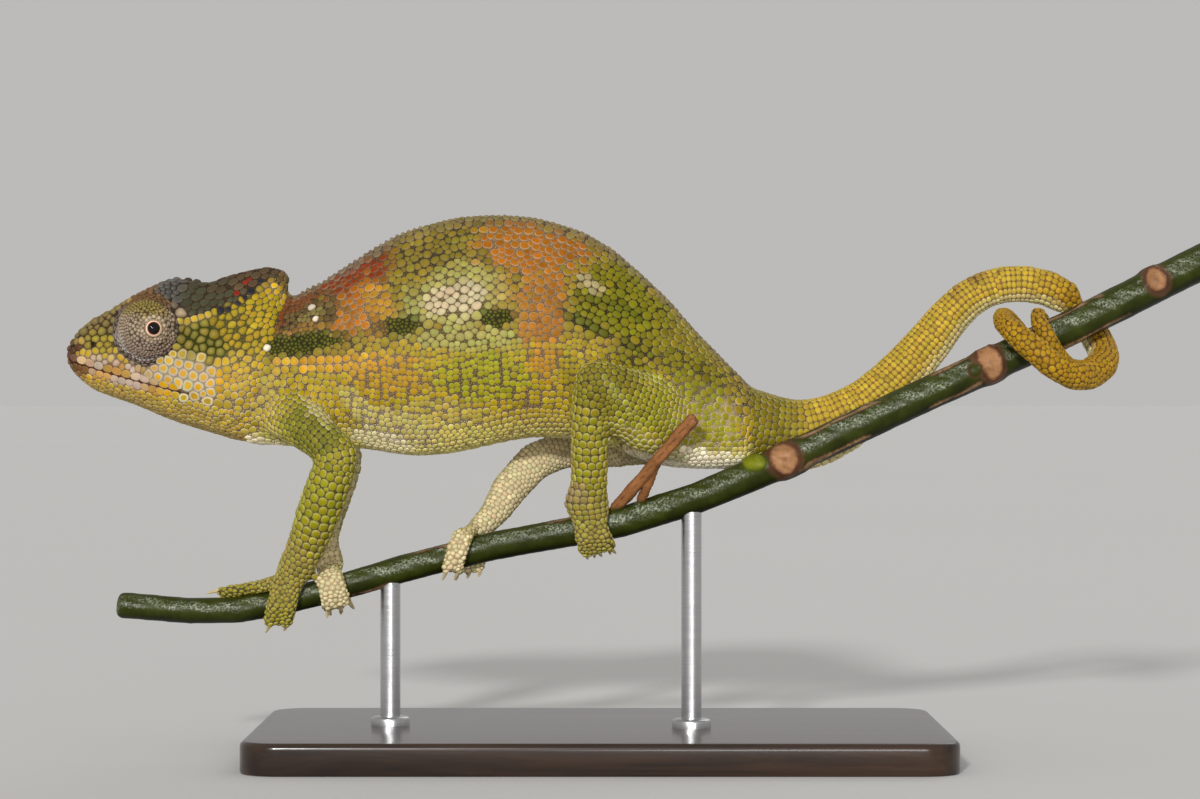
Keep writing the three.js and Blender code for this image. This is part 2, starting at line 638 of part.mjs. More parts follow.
function place(name, manifold, material) {
  const { vertProperties, triVerts } = largest(manifold).getMesh();
  const geometry = new THREE.BufferGeometry();
  geometry.setAttribute('position', new THREE.Float32BufferAttribute(vertProperties, 3));
  geometry.setIndex(Array.from(triVerts));
  geometry.computeVertexNormals();
  const mesh = new THREE.Mesh(geometry, material);
  mesh.name = name;
  group.add(mesh);
}

const stemClear = stemSolid(GAP);
const trunkClear = trunkWhole(GAP);
const trunk = trunkWhole(0);

const skull = before(headWhole(), SKULL_PLANE)
  .subtract(turret(-1, GAP))
  .subtract(turret(1, GAP));
place('head', skull.subtract(jawBlock(GAP)), FLESH.casque);
place('lower_jaw', skull.intersect(jawBlock(0)), FLESH.head);
[['left', -1], ['right', 1]].forEach(([name, side]) => {
  place(`eye_turret_${name}`, turret(side, 0).subtract(eyeball(side, GAP)), FLESH.turret);
  place(`eyeball_${name}`, eyeball(side, 0), EYEBALL);
});

place('neck', before(behind(trunk, SKULL_PLANE), SHOULDER_PLANE), FLESH.head);
const torso = behind(trunk, SHOULDER_PLANE);
place('trunk_front', torso.trimByPlane([-1, 0, 0], GAP / 2 - WAIST_X), FLESH.trunk);
place('trunk_rear', torso.trimByPlane([1, 0, 0], WAIST_X + GAP / 2), FLESH.trunk);
tailPieces().forEach(([name, piece]) => place(name, piece.subtract(stemClear), FLESH.tail));

LEGS.forEach((leg) => {
  const lower = (grow) => limb(leg.lower, leg.side, { count: 5, grow, roundStart: true });
  const foot = (grow) => limb(leg.foot, leg.side, { count: 3, grow, roundEnd: true });
  const upper = limb(leg.upper, leg.side, { count: 5, roundEnd: true })
    .subtract(trunkClear).subtract(lower(GAP));
  place(`${leg.name}_upper`, upper, FLESH.limb);
  place(`${leg.name}_lower`, lower(0).subtract(trunkClear), FLESH.limb);
  place(`${leg.name}_foot`, foot(0).subtract(lower(GAP)).subtract(stemClear), FLESH.limb);
  let taken = foot(GAP).add(stemClear);
  leg.bundles.forEach((bundle) => {
    const toes = Array.from({ length: bundle.toes }, (_, i) => toeRoute(leg, bundle, i));
    const joined = (grow) => toes
      .map((toe) => tube(toe.path, { count: 4, sides: TOE_SIDES, roundEnd: true, grow }))
      .reduce((sum, toe) => sum.add(toe));
    place(`${leg.name}_toes_${bundle.name}`, joined(0).subtract(taken), FLESH.limb);
    taken = taken.add(joined(GAP));
    toes.forEach((toe, i) => {
      place(`${leg.name}_claw_${bundle.name}_${i + 1}`, claw(toe, bundle.thick * TOE_TAPER), CLAW);
    });
  });
});

place('perch', perch(), BARK);
place('stand_base', standBase(), STAND);
ROD_AT.forEach((x, i) => {
  place(`stand_rod_${i + 1}`, standRod(x).subtract(stemClear), ROD);
});

export default group;
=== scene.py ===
"""A life-size chameleon gripping a cut length of stem over a flat stand.

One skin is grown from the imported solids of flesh. Scales are solid little plates set over it:
in rows on the trunk, legs and tail, in rings on the eye turrets, and scattered between.
Lengths are in millimetres until they reach a mesh, which is in metres.
"""

import heapq
import json
import math

import bpy
import numpy as np
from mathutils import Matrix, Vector
from mathutils.bvhtree import BVHTree
from mathutils.kdtree import KDTree

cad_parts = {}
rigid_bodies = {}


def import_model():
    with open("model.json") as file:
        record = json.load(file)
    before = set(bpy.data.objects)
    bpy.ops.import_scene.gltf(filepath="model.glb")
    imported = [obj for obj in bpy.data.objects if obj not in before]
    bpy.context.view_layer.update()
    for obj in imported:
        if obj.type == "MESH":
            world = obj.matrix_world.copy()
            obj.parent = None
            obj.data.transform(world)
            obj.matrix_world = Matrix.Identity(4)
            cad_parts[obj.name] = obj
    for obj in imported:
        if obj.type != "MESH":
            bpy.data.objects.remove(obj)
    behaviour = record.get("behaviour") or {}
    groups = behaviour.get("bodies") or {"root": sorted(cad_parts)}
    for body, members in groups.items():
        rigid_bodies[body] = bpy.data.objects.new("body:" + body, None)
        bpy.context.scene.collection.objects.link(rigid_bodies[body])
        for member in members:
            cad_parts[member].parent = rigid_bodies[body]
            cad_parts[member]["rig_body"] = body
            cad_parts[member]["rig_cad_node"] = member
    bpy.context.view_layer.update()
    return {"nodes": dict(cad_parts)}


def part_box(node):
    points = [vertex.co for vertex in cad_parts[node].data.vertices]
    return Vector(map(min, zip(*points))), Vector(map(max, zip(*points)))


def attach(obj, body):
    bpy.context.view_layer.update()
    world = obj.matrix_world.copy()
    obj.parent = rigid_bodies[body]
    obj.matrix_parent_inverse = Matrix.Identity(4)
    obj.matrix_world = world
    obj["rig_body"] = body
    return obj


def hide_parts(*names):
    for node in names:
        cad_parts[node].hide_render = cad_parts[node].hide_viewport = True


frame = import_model()
bpy.ops.object.select_all(action="DESELECT")

MM = 0.001
random = np.random.default_rng(7)

LEG_NAMES = ("front_left", "front_right", "hind_left", "hind_right")
SIDES = {"left": -1, "right": 1}  # which way along Y each side of the animal faces

# ---------------------------------------------------------------- plain helpers


def select_only(*pieces):
    """Selects just these pieces and makes the first of them active."""
    bpy.ops.object.select_all(action="DESELECT")
    for piece in pieces:
        piece.select_set(True)
    bpy.context.view_layer.objects.active = pieces[0]


def edit(piece, mode="FACE"):
    """Leaves nothing of a piece selected, ready for faces or edges to be chosen."""
    select_only(piece)
    bpy.ops.object.mode_set(mode="EDIT")
    bpy.ops.mesh.select_mode(type=mode)
    bpy.ops.mesh.select_all(action="DESELECT")
    bpy.ops.object.mode_set(mode="OBJECT")


def finish_with(piece, kind, **settings):
    """Adds one modifier and applies it."""
    select_only(piece)
    modifier = piece.modifiers.new(kind.title(), kind)
    for name, value in settings.items():
        setattr(modifier, name, value)
    bpy.ops.object.modifier_apply(modifier=modifier.name)


def copy_of(names, title):
    """A new piece from the named solids, with their loose triangles merged."""
    select_only(*[frame["nodes"][name] for name in names])
    bpy.ops.object.duplicate()
    bpy.ops.object.join()
    piece = bpy.context.active_object
    piece.name = title
    piece.parent = None
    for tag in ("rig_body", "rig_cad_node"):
        del piece[tag]
    bpy.ops.object.mode_set(mode="EDIT")
    bpy.ops.mesh.select_all(action="SELECT")
    bpy.ops.mesh.remove_doubles(threshold=0.0005 * MM)
    bpy.ops.mesh.customdata_custom_splitnormals_clear()
    bpy.ops.object.mode_set(mode="OBJECT")
    return piece


def smooth_shaded(piece):
    select_only(piece)
    bpy.ops.object.shade_smooth()


def points_of(piece):
    """The vertices of a piece, in millimetres."""
    flat = np.empty(3 * len(piece.data.vertices), np.float32)
    piece.data.vertices.foreach_get("co", flat)
    return flat.reshape(-1, 3).astype(float) / MM


def edges_of(piece):
    flat = np.empty(2 * len(piece.data.edges), np.int32)
    piece.data.edges.foreach_get("vertices", flat)
    return flat.reshape(-1, 2)


def normals_of(piece):
    flat = np.empty(3 * len(piece.data.vertices), np.float32)
    piece.data.vertex_normals.foreach_get("vector", flat)
    return flat.reshape(-1, 3).astype(float)


def move_points(piece, points):
    piece.data.vertices.foreach_set("co", (points * MM).astype(np.float32).ravel())
    piece.data.update()


def centre_of(node):
    """The middle of a solid's box, in millimetres."""
    low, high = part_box(node)
    return np.array((low + high) / 2) / MM


def on_side(points, side):
    """Points given on the side towards +Y, carried to the side wanted."""
    return np.array(points, float) * [1, side, 1]


def unit(vectors):
    """The vectors at a length of one."""
    return vectors / np.maximum(np.linalg.norm(vectors, axis=-1, keepdims=True), 1e-9)


def smoothstep(low, high, value):
    """Eases from 0 at low to 1 at high."""
    t = np.clip((value - low) / (high - low), 0, 1)
    return t * t * (3 - 2 * t)


def through(pairs, x):
    """A straight-line function through a few (x, value) pairs, level past both ends."""
    xs, values = zip(*pairs)
    return np.interp(x, xs, values)


def evenly(line, step):
    """Points a step apart along a line."""
    steps = np.linalg.norm(np.diff(line, axis=0), axis=1)
    along = np.concatenate([[0], np.cumsum(steps)])
    stations = np.arange(0, along[-1], step)
    return np.stack([np.interp(stations, along, line[:, axis]) for axis in range(3)], 1)


def rounded(line, rounds=3):
    """Cuts the corners of a line."""
    for _ in range(rounds):
        quarter = 0.75 * line[:-1] + 0.25 * line[1:]
        three = 0.25 * line[:-1] + 0.75 * line[1:]
        middle = np.stack([quarter, three], 1).reshape(-1, 3)
        line = np.concatenate([line[:1], middle, line[-1:]])
    return line


def tree_of(points):
    """A search tree that finds the nearest of some points and tells which one it is."""
    tree = KDTree(len(points))
    for i, p in enumerate(points):
        tree.insert(p, i)
    tree.balance()
    return tree


def ripple(points, seed):
    """A smooth random field between -1 and 1."""
    made = np.random.default_rng(seed)
    total = np.zeros(len(points))
    for _ in range(6):
        wave = made.normal(0, 1, 3) * made.uniform(0.25, 0.9)
        total += np.sin(points @ wave + made.uniform(0, 6.3))
    return total / 3.2


def linear(colour):
    """A colour given as 0-255 display values, in linear light."""
    c = np.asarray(colour, float) / 255
    return np.where(c <= 0.04045, c / 12.92, ((c + 0.055) / 1.055) ** 2.4)


def paint_points(piece, colours, name="marking"):
    """Stores one colour for each vertex, which the materials read by name."""
    rgba = np.ones((len(colours), 4), np.float32)
    rgba[:, :3] = np.clip(colours, 0, 1)
    layer = piece.data.color_attributes.new(name, "FLOAT_COLOR", "POINT")
    layer.data.foreach_set("color", rgba.ravel())


# ---------------------------------------------------------------- the skin

INFLATE = 0.26  # closes the clear space between the solids before they fuse
SKIN_GRAIN = 0.457  # size of the squares of the fused skin

FLESH = [
    name
    for name in frame["nodes"]
    if name.startswith(("head", "lower_jaw", "eye_turret", "neck", "trunk", "tail"))
    or name.endswith(("_upper", "_lower", "_foot"))
    or "_toes_" in name
]


def region_of(node):
    """The part of the animal that a solid belongs to."""
    if node in ("head", "lower_jaw"):
        return "head"
    if node.startswith("eye_turret"):
        return "turret"
    if node.startswith(("trunk", "tail")):
        return node.split("_")[0]
    if "_toes_" in node:
        return node.split("_toes_")[0] + "_toes"
    return "_".join(node.split("_")[:2])  # the neck or a leg


REGIONS = sorted({region_of(name) for name in FLESH})
REGION = {name: index for index, name in enumerate(REGIONS)}


def solids_tree(names):
    """A search tree over the named solids, and the region of each of its triangles."""
    corners, faces, owner = [], [], []
    for name in names:
        mesh = frame["nodes"][name].data
        start = len(corners)
        corners.extend(v.co / MM for v in mesh.vertices)
        faces.extend([start + i for i in p.vertices] for p in mesh.polygons)
        owner.extend([REGION[region_of(name)]] * len(mesh.polygons))
    return BVHTree.FromPolygons(corners, faces), np.array(owner)


def regions_at(points, tree, owner):
    """The region of the solid that is nearest to each point."""
    return np.array([owner[tree.find_nearest(Vector(p))[2]] for p in points])


def relax(points, edges, weight, rounds):
    """Draws each point towards the middle of its neighbours, as far as its weight says."""
    one, two = edges.T
    count = np.bincount(edges.ravel(), minlength=len(points))[:, None]
    for _ in range(rounds):
        total = np.zeros_like(points)
        for axis, place in enumerate(points.T):
            total[:, axis] = np.bincount(one, place[two], len(points))
            total[:, axis] += np.bincount(two, place[one], len(points))
        points = points + weight[:, None] * (total / np.maximum(count, 1) - points)
    return points


def spread(values, edges, share, rounds):
    """Evens one number of each point out among its neighbours."""
    return relax(values[:, None], edges, np.full(len(values), share), rounds)[:, 0]


EYES = {side: centre_of(f"eyeball_{name}") for name, side in SIDES.items()}
EYE_TURNED_BACK = 0.32  # radians
LID_RADIUS = 1.78
LID_THICK = 0.52
LID_OUT = 1.25  # how far the lids lie in front of the middle of the ball
BLEND_WIDTH = 8  # how far, in squares of the skin, the two tables below run into each other
BORDER_WIDTH = 5  # how far, in squares of the skin, the softened band at a border spreads
TIP_SHARE = 0.12  # the share of the tail's softening that its thin tip takes
LIGHT_PASS = 14  # regions with fewer rounds than this take only a part of the light second pass

# How many rounds of relaxing each region takes, and how deep its skin lies under the scales.
SOFTENING = {"trunk": 42, "neck": 36, "tail": 12, "head": 4, "turret": 7, "leg": 12, "toes": 2}
COAT_DEPTH = {"trunk": 0.3, "neck": 0.28, "tail": 0.12, "head": 0.22, "turret": 0.14,
              "leg": 0.1, "toes": 0.0}


def by_region(values, region):
    """A value for each point from a table that names the kinds of region."""
    kinds = ["toes" if name.endswith("_toes") else "leg" if name in LEG_NAMES else name
             for name in REGIONS]
    return np.array([values[kind] for kind in kinds], float)[region]


def gaze_of(side):
    """The way an eye looks: outwards and a little back."""
    return np.array([math.sin(EYE_TURNED_BACK), side * math.cos(EYE_TURNED_BACK), 0])


def ring_at(spot, way, radius, thickness):
    """Adds a torus round a line through spot, and returns it."""
    bpy.ops.mesh.primitive_torus_add(
        location=tuple(spot * MM),
        rotation=Vector(way).to_track_quat("Z", "Y").to_euler(),
        major_radius=radius * MM,
        minor_radius=thickness * MM,
        major_segments=48,
        minor_segments=12,
    )
    ring = bpy.context.active_object
    bpy.ops.object.transform_apply()
    return ring


def lids():
    """Thick rings of lid that narrow the opening round each eyeball."""
    return [ring_at(eye + gaze_of(side) * LID_OUT, gaze_of(side), LID_RADIUS, LID_THICK)
            for side, eye in EYES.items()]


# Soft folds of loose skin on each side: middle (x, z), half length and half height, the slant of
# the creases in degrees, how far apart they are and how deep.
FOLDS = [
    (-36, 54.6, 8, 5.6, 84, 2.2, 0.13),
    (-50, 58.6, 5.6, 4.6, 58, 2.3, 0.17),
    (-57, 54.6, 7, 3.6, 40, 1.9, 0.12),
    (-24, 50.6, 12, 2.6, 90, 2.1, 0.1),
    (4, 50.8, 6, 3, 30, 1.8, 0.14),
    (17.5, 55, 4, 7, 62, 2.1, 0.12),
]


def fold_depth(points):
    """How far the folds of loose skin raise or sink each point."""
    x, _, z = points.T
    depth = np.zeros(len(points))
    for middle, height, half_long, half_high, slant, spacing, deep in FOLDS:
        away = np.hypot((x - middle) / half_long, (z - height) / half_high)
        turn = math.radians(slant)
        over = (x - middle) * math.sin(turn) - (z - height) * math.cos(turn)
        wave = np.cos(2 * math.pi * over / spacing + 0.7 * np.sin(0.4 * z + 0.2 * x))
        depth += deep * wave * (1 - smoothstep(0.55, 1.0, away))
    return depth


def softened(points, edges, region):
    """The fused points with soft forms: each region first, then the borders between them."""
    rounds = by_region(SOFTENING, region)
    low, high = (np.array(corner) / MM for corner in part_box("tail_tip"))
    rounds[((points > low - 0.5) & (points < high + 0.5)).all(axis=1)] *= TIP_SHARE
    rounds = spread(rounds, edges, 0.7, BLEND_WIDTH)
    most = int(max(SOFTENING.values()))
    points = relax(points, edges, 0.5 * np.clip(rounds / most, 0, 1) ** 0.5, most // 2)
    points = relax(points, edges, 0.5 * np.clip(rounds / LIGHT_PASS, 0, 1), 5)
    border = region[edges[:, 0]] != region[edges[:, 1]]
    near = np.zeros(len(points))
    near[edges[border].ravel()] = 1
    near = spread(near, edges, 0.6, BORDER_WIDTH)
    return relax(points, edges, np.clip(near * 1.2, 0, 0.6), 24)


def fused_skin():
    """One skin grown from all solids of flesh and the lids, and the region of each point."""
    skin = copy_of(FLESH, "skin")
    select_only(skin, *lids())
    bpy.ops.object.join()
    finish_with(skin, "DISPLACE", strength=INFLATE * MM, mid_level=0)
    finish_with(skin, "REMESH", mode="VOXEL", voxel_size=SKIN_GRAIN * MM)
    tree, owner = solids_tree(FLESH)
    points, edges = points_of(skin), edges_of(skin)
    region = regions_at(points, tree, owner)
    depth = spread(by_region(COAT_DEPTH, region), edges, 0.7, BLEND_WIDTH)
    points = softened(points, edges, region)
    move_points(skin, points)
    loose = np.isin(region, [REGION[name] for name in ("neck", "trunk", "head")])
    points += normals_of(skin) * (fold_depth(points) * loose - INFLATE - depth)[:, None]
    move_points(skin, points)
    smooth_shaded(skin)
    return skin, region


skin, skin_region = fused_skin()
skin_points = points_of(skin)
skin_normals = normals_of(skin)
skin_faces = [tuple(p.vertices) for p in skin.data.polygons]
skin_tree = BVHTree.FromPolygons([Vector(p) for p in skin_points], skin_faces)
face_region = skin_region[[face[0] for face in skin_faces]]


def unwrap_skin():
    """Unwraps the skin by its own shape, and gives the place of each face on the unwrap."""
    edit(skin)
    bpy.ops.object.mode_set(mode="EDIT")
    bpy.ops.mesh.select_all(action="SELECT")
    bpy.ops.uv.smart_project(angle_limit=math.radians(66), island_margin=0.001)
    bpy.ops.object.mode_set(mode="OBJECT")
    layer = skin.data.uv_layers.active
    layer.name = "OFBake"
    flat = np.empty(2 * len(skin.data.loops), np.float32)
    layer.uv.foreach_get("vector", flat)
    starts = np.empty(len(skin.data.polygons), np.int32)
    skin.data.polygons.foreach_get("loop_start", starts)
    return flat.reshape(-1, 2)[starts]


face_place = unwrap_skin()

# ---------------------------------------------------------------- roots of the scales


class Roots:
    """Where each scale grows: its place, its lie, its size and the kind of scale it is."""

    CELL = 2.2  # the squares of the grid are wider than any two scales that touch

    def __init__(self):
        self.rows = []
        self.grid = {}

    def cell(self, p):
        return (int(p[0] // self.CELL), int(p[1] // self.CELL), int(p[2] // self.CELL))

    def clear(self, p, size, room):
        """Whether a scale of that size has room at p beside those already there."""
        cx, cy, cz = self.cell(p)
        for x in (cx - 1, cx, cx + 1):
            for y in (cy - 1, cy, cy + 1):
                for z in (cz - 1, cz, cz + 1):
                    for q, other in self.grid.get((x, y, z), ()):
                        reach = room * (size + other)
                        dx, dy, dz = p[0] - q[0], p[1] - q[1], p[2] - q[2]
                        if dx * dx + dy * dy + dz * dz < reach * reach:
                            return False
        return True

    def plant(self, p, size, kind, lie, stretch=1.0, room=0.72, regions=None, snap=1.2):
        """Roots one scale on the skin nearest to p, if that is its region and it has room."""
        spot, normal, face, _ = skin_tree.find_nearest(Vector(p), snap)
        if spot is None or (regions is not None and face_region[face] not in regions):
            return
        if self.clear(spot, size, room):
            row = (tuple(spot), tuple(normal), tuple(lie), size, stretch, KIND[kind], face)
            self.rows.append(row)
            self.grid.setdefault(self.cell(spot), []).append((tuple(spot), size))


# Each kind of scale: its height as a share of its size, how many sides it has, the clear groove
# round it, how far past its size it may reach, and its rings. A ring is given by how far out it
# lies, how high it lies and its hue: 0 is the middle of the scale, 1 its rim and 2 the groove.
PILLOW = ((0.7, 0.93, 0.0), (0.91, 0.68, 0.6), (1.0, 0.16, 1.25))
PEBBLE = ((0.56, 0.86, 0.0), (1.0, 0.16, 1.0))
KINDS = {
    "plate": (0.36, 12, 0.03, 1.6, PILLOW),
    "block": (0.36, 12, 0.01, 1.14, ((0.72, 0.94, 0.0), (0.93, 0.76, 0.3), (1.0, 0.46, 0.85))),
    "roof": (0.18, 10, 0.02, 1.6, ((0.5, 0.95, 0.0), (0.86, 0.6, 0.5), (1.0, 0.1, 1.6))),
    "tubercle": (0.6, 12, 0.06, 1.35, ((0.45, 0.9, 0.0), (0.78, 0.55, 0.5), (1.0, 0.05, 1.4))),
    "spot": (0.16, 12, 0.02, 1.6,
             ((0.5, 0.95, 0.0), (0.64, 0.9, 1.0), (0.9, 0.7, 1.1), (1.0, 0.3, 1.7))),
    "knob": (0.85, 12, 0.06, 1.3, ((0.5, 0.86, 0.0), (0.84, 0.5, 0.5), (1.0, 0.05, 1.3))),
    "cone": (0.8, 8, 0.03, 1.3, ((0.4, 0.76, 0.4), (1.0, 0.1, 1.0))),
    "lip": (0.17, 12, 0.01, 1.6, ((0.74, 0.97, 0.0), (0.94, 0.8, 0.6), (1.0, 0.45, 1.3))),
    "granule": (0.5, 8, 0.05, 1.34, PEBBLE),
    "fold": (0.9, 8, 0.02, 1.5, ((0.5, 0.85, 0.2), (1.0, 0.1, 1.6))),
    "bead": (0.45, 8, 0.02, 1.3, PEBBLE),
    "limb": (0.36, 10, 0.04, 1.45, ((0.58, 0.93, 0.0), (0.87, 0.6, 0.75), (1.0, 0.1, 1.4))),
    "ring": (0.32, 8, 0.03, 1.6, ((0.7, 0.92, 0.0), (0.92, 0.6, 0.7), (1.0, 0.12, 1.4))),
    "grain": (0.7, 5, 0.03, 1.2, ((0.7, 0.7, 0.4),)),
    "gap": (0.0, 3, 0.0, 1.0, ()),
}
KIND = {name: index for index, name in enumerate(KINDS)}

roots = Roots()


def plant_line(points, pitch, kind, side, size, room=0.6, regions=None, stretch=1.0):
    """A row of scales along a line of points over the skin."""
    stops = on_side(evenly(np.array(points, float), pitch), side)
    for here, after in zip(stops[:-1], stops[1:]):
        roots.plant(here, size / 2, kind, after - here, stretch, room, regions, snap=2.5)


def over_skin(line, side, lift=0.0):
    """The points of a side-view line carried onto the side of the head."""
    found = []
    for x, z in line:
        hit = skin_tree.ray_cast(Vector((x, side * 30, z + lift)), Vector((0, -side, 0)))[0]
        if hit:
            found.append((hit.x, abs(hit.y), hit.z))
    return found


# ---- the trunk and neck

TRUNK_LINE = [(-62, 61), (-48, 62), (-30, 64), (-10, 66), (6, 62), (16, 58), (26, 53)]
NECK_TRUNK = (REGION["neck"], REGION["trunk"])
ROWS_START, ROWS_END = -61, 24  # where the rows of the trunk start and end, along X
BACK_SHARE = 0.5  # the share of the way down the flank that the rows along the back reach
BACK_ROW = 1.52  # how high a row of the back is
# How long its scales are, by the share of the way down.
BACK_LONG = [(0, 1.3), (0.1, 1.8), (0.25, 2.1), (0.5, 1.7)]
RUMP_LONG = 1.65  # and behind the hips
# How high and how long the scales of the belly are, by the way up from its middle.
BELLY_HIGH = [(0, 0.92), (7, 0.98), (13, 1.2), (30, 1.3)]
BELLY_LONG = [(0, 0.94), (7, 1.0), (13, 1.1), (30, 1.3)]
COLUMN = 2.12  # how far apart the columns of cushions on the flank stand
COLUMN_FOOT = 9.3  # how far up from the middle of the belly they start
# Dark granular streaks on each flank, the second partly a painted shadow of a fold: middle (x, z),
# half length and half height.
STREAKS = [(-47.4, 65.7, 7, 1.5), (-32, 68.5, 3.8, 1.4), (-16, 69.8, 2.4, 1.3)]
# Rows of large square scales below the first streak.
GOLD_ROWS = [[(-54, 63), (-42, 63.3), (-36, 63.9), (-29, 65.3), (-22, 66)],
             [(-54, 61.6), (-42, 61.9), (-36, 62.4), (-29, 63.8)]]
ARMPIT = -40  # in front of it the flank is folded and its scales are narrow
SHOULDERS_END = -28  # as far as here the crest has teeth


def trunk_sections():
    """The outline of the trunk at close stations: from the ridge down each flank."""
    tree, _ = solids_tree([name for name in FLESH if name.startswith(("neck", "trunk"))])
    turns = np.radians(np.arange(90, -91, -1.5))
    sections = []
    for x in np.arange(ROWS_START + 1.5, ROWS_END, 0.5):
        middle = Vector((x, 0, through(TRUNK_LINE, x)))
        line = []
        for turn in turns:
            way = Vector((0, math.cos(turn), math.sin(turn)))
            hit = tree.ray_cast(middle + way * 60, -way)[0]
            line.append(tuple(hit) if hit else (math.nan,) * 3)
        line = np.array(line)
        if not np.isnan(line).any():
            steps = np.linalg.norm(np.diff(line, axis=0), axis=1)
            sections.append((x, line, np.concatenate([[0], np.cumsum(steps)])))
    return sections


def on_section(section, down, side):
    """The place that lies so far down one side of a section from the ridge."""
    _, line, along = section
    y, z = (np.interp(down, along, line[:, axis]) for axis in (1, 2))
    return np.array([section[0], side * y, z])


def plant_back(sections, stations, girth, side):
    """Rows of long scales that follow the line of the back, as bricks lie."""
    down, row = 1.2, 0  # the first row lies beside the crest
    while down < 25:
        high = BACK_ROW + 0.08 * math.sin(row * 1.7)
        x = ROWS_START + 0.9 * (row % 2)
        while x < ROWS_END:
            at = int(np.argmin(abs(stations - x)))
            share = down / girth[at]
            long = through(BACK_LONG, share) if x < 4 else RUMP_LONG
            if share < BACK_SHARE:
                p = on_section(sections[at], down + random.normal(0, 0.06), side)
                p[0] += random.normal(0, 0.1)
                lie = p - on_section(sections[max(at - 3, 0)], down, side)
                size = high * random.uniform(0.37, 0.49)
                if not in_streak(p) and not on_nape(p):
                    roots.plant(p, size, "plate", lie, long / high, 0.76, NECK_TRUNK)
            x += long * random.uniform(0.95, 1.05)
        down += high
        row += 1


def plant_flank(sections, stations, girth, side):
    """Upright columns of cushions, each of one to six scales pressed close together."""
    for x in np.arange(ARMPIT, ROWS_END, COLUMN):
        up = COLUMN_FOOT + random.uniform(-0.8, 0.8)
        while up < 34:
            wide = random.choice([1, 2, 2, 2])
            tall = random.choice([1, 2, 2, 2, 3])
            part = random.uniform(0.82, 0.94) * (1.24 if wide == 1 else 1)
            part_high = part * (0.94 if wide == 2 else 0.8)
            sway = 0.3 * math.sin(0.5 * up + x) + random.normal(0, 0.08)
            for i in range(wide):
                for j in range(tall):
                    over = x + sway + (i - (wide - 1) / 2) * part + 0.06 * up - 0.8
                    rise = up + (j + 0.5) * part_high
                    near = int(np.argmin(abs(stations - over)))
                    if 1 - rise / girth[near] > BACK_SHARE:
                        p = on_section(sections[near], girth[near] - rise, side)
                        p[0] = over + random.normal(0, 0.02)
                        roots.plant(p, 0.5 * part, "block", (1, 0, 0), 1.06, 0.66, NECK_TRUNK)
            up += tall * part_high + random.uniform(0.24, 0.38)


def plant_belly(sections, stations, girth, side):
    """Small scales in rows along the belly, and narrow upright ones in front of the armpit."""
    up, row = 0.2, 0
    while up < 27:
        high = through(BELLY_HIGH, up)
        for x in np.arange(ROWS_START, ROWS_END, through(BELLY_LONG, up)):
            at = int(np.argmin(abs(stations - x)))
            if 1 - up / girth[at] > BACK_SHARE and (up < 9.6 or x < ARMPIT - 0.6):
                wave = 0.25 * math.sin(x * 0.31 + row) + random.normal(0, 0.04)
                p = on_section(sections[at], girth[at] - up + wave, side)
                p[0] += random.normal(0, 0.05) + 0.06 * up
                roots.plant(p, 0.46 * high, "plate", (0.2, 0, 1), 1.12, 0.7, NECK_TRUNK)
        up += high
        row += 1


def in_streak(p):
    """Whether p lies in a dark streak, where the scales are fine granules."""
    return any(
        ((p[0] - x) / long) ** 2 + ((p[2] - z - 0.1 * (p[0] - x)) / high) ** 2 < 1
        for x, z, long, high in STREAKS
    )


def on_nape(p):
    """Whether p lies on the nape, where the scales are small."""
    return p[0] < -44.4 and p[2] > 66.4


def plant_trunk():
    """All rows of the neck and trunk, the large gold ones first."""
    for side in SIDES.values():
        for line in GOLD_ROWS:
            plant_line(over_skin(line, side), 1.42, "plate", side, 1.2, regions=NECK_TRUNK)
    sections = trunk_sections()
    stations = np.array([section[0] for section in sections])
    girth = np.array([section[2][-1] for section in sections])
    for side in SIDES.values():
        for rows in (plant_back, plant_flank, plant_belly):
            rows(sections, stations, girth, side)


# ---- tubes of flesh: the tail and the legs


def walk(points, edges, members, start):
    """Distance over the skin from the start points to every member point."""
    beside = {int(i): [] for i in np.flatnonzero(members)}
    for a, b in edges:
        if members[a] and members[b]:
            long = float(np.linalg.norm(points[a] - points[b]))
            beside[int(a)].append((int(b), long))
            beside[int(b)].append((int(a), long))
    reached = {}
    queue = [(0.0, int(i)) for i in start]
    heapq.heapify(queue)
    while queue:
        far, here = heapq.heappop(queue)
        if here in reached:
            continue
        reached[here] = far
        for there, long in beside[here]:
            if there not in reached:
                heapq.heappush(queue, (far + long, there))
    return reached


def middle_of_tail():
    """The middle line of the tail, found by walking over its skin from the rump to the tip."""
    edges = edges_of(skin)
    tail = skin_region == REGION["tail"]
    border = tail[edges[:, 0]] != tail[edges[:, 1]]
    rim = np.unique(edges[border].ravel())
    rim = rim[tail[rim]]
    reached = walk(skin_points, edges, tail, rim)
    bins = {}
    for point, far in reached.items():
        bins.setdefault(int(far / 1.1), []).append(point)
    line = np.array([skin_points[bins[k]].mean(axis=0) for k in sorted(bins) if len(bins[k]) > 3])
    for _ in range(3):
        line[1:-1] = 0.5 * line[1:-1] + 0.25 * (line[:-2] + line[2:])
    return line


TAIL_LINE = middle_of_tail()
TAIL_TIP = TAIL_LINE[-1]
# How long and how wide the scales of the tail are, from the rump to the tip, as (share, size).
TAIL_LONG = [(0, 1.2), (0.1, 1.1), (0.18, 0.84), (0.5, 0.8), (0.58, 0.95), (0.85, 0.9), (1, 0.55)]
TAIL_WIDE = [(0, 1.25), (0.15, 1.12), (0.5, 1.02), (0.6, 1.08), (0.85, 0.95), (1, 0.55)]
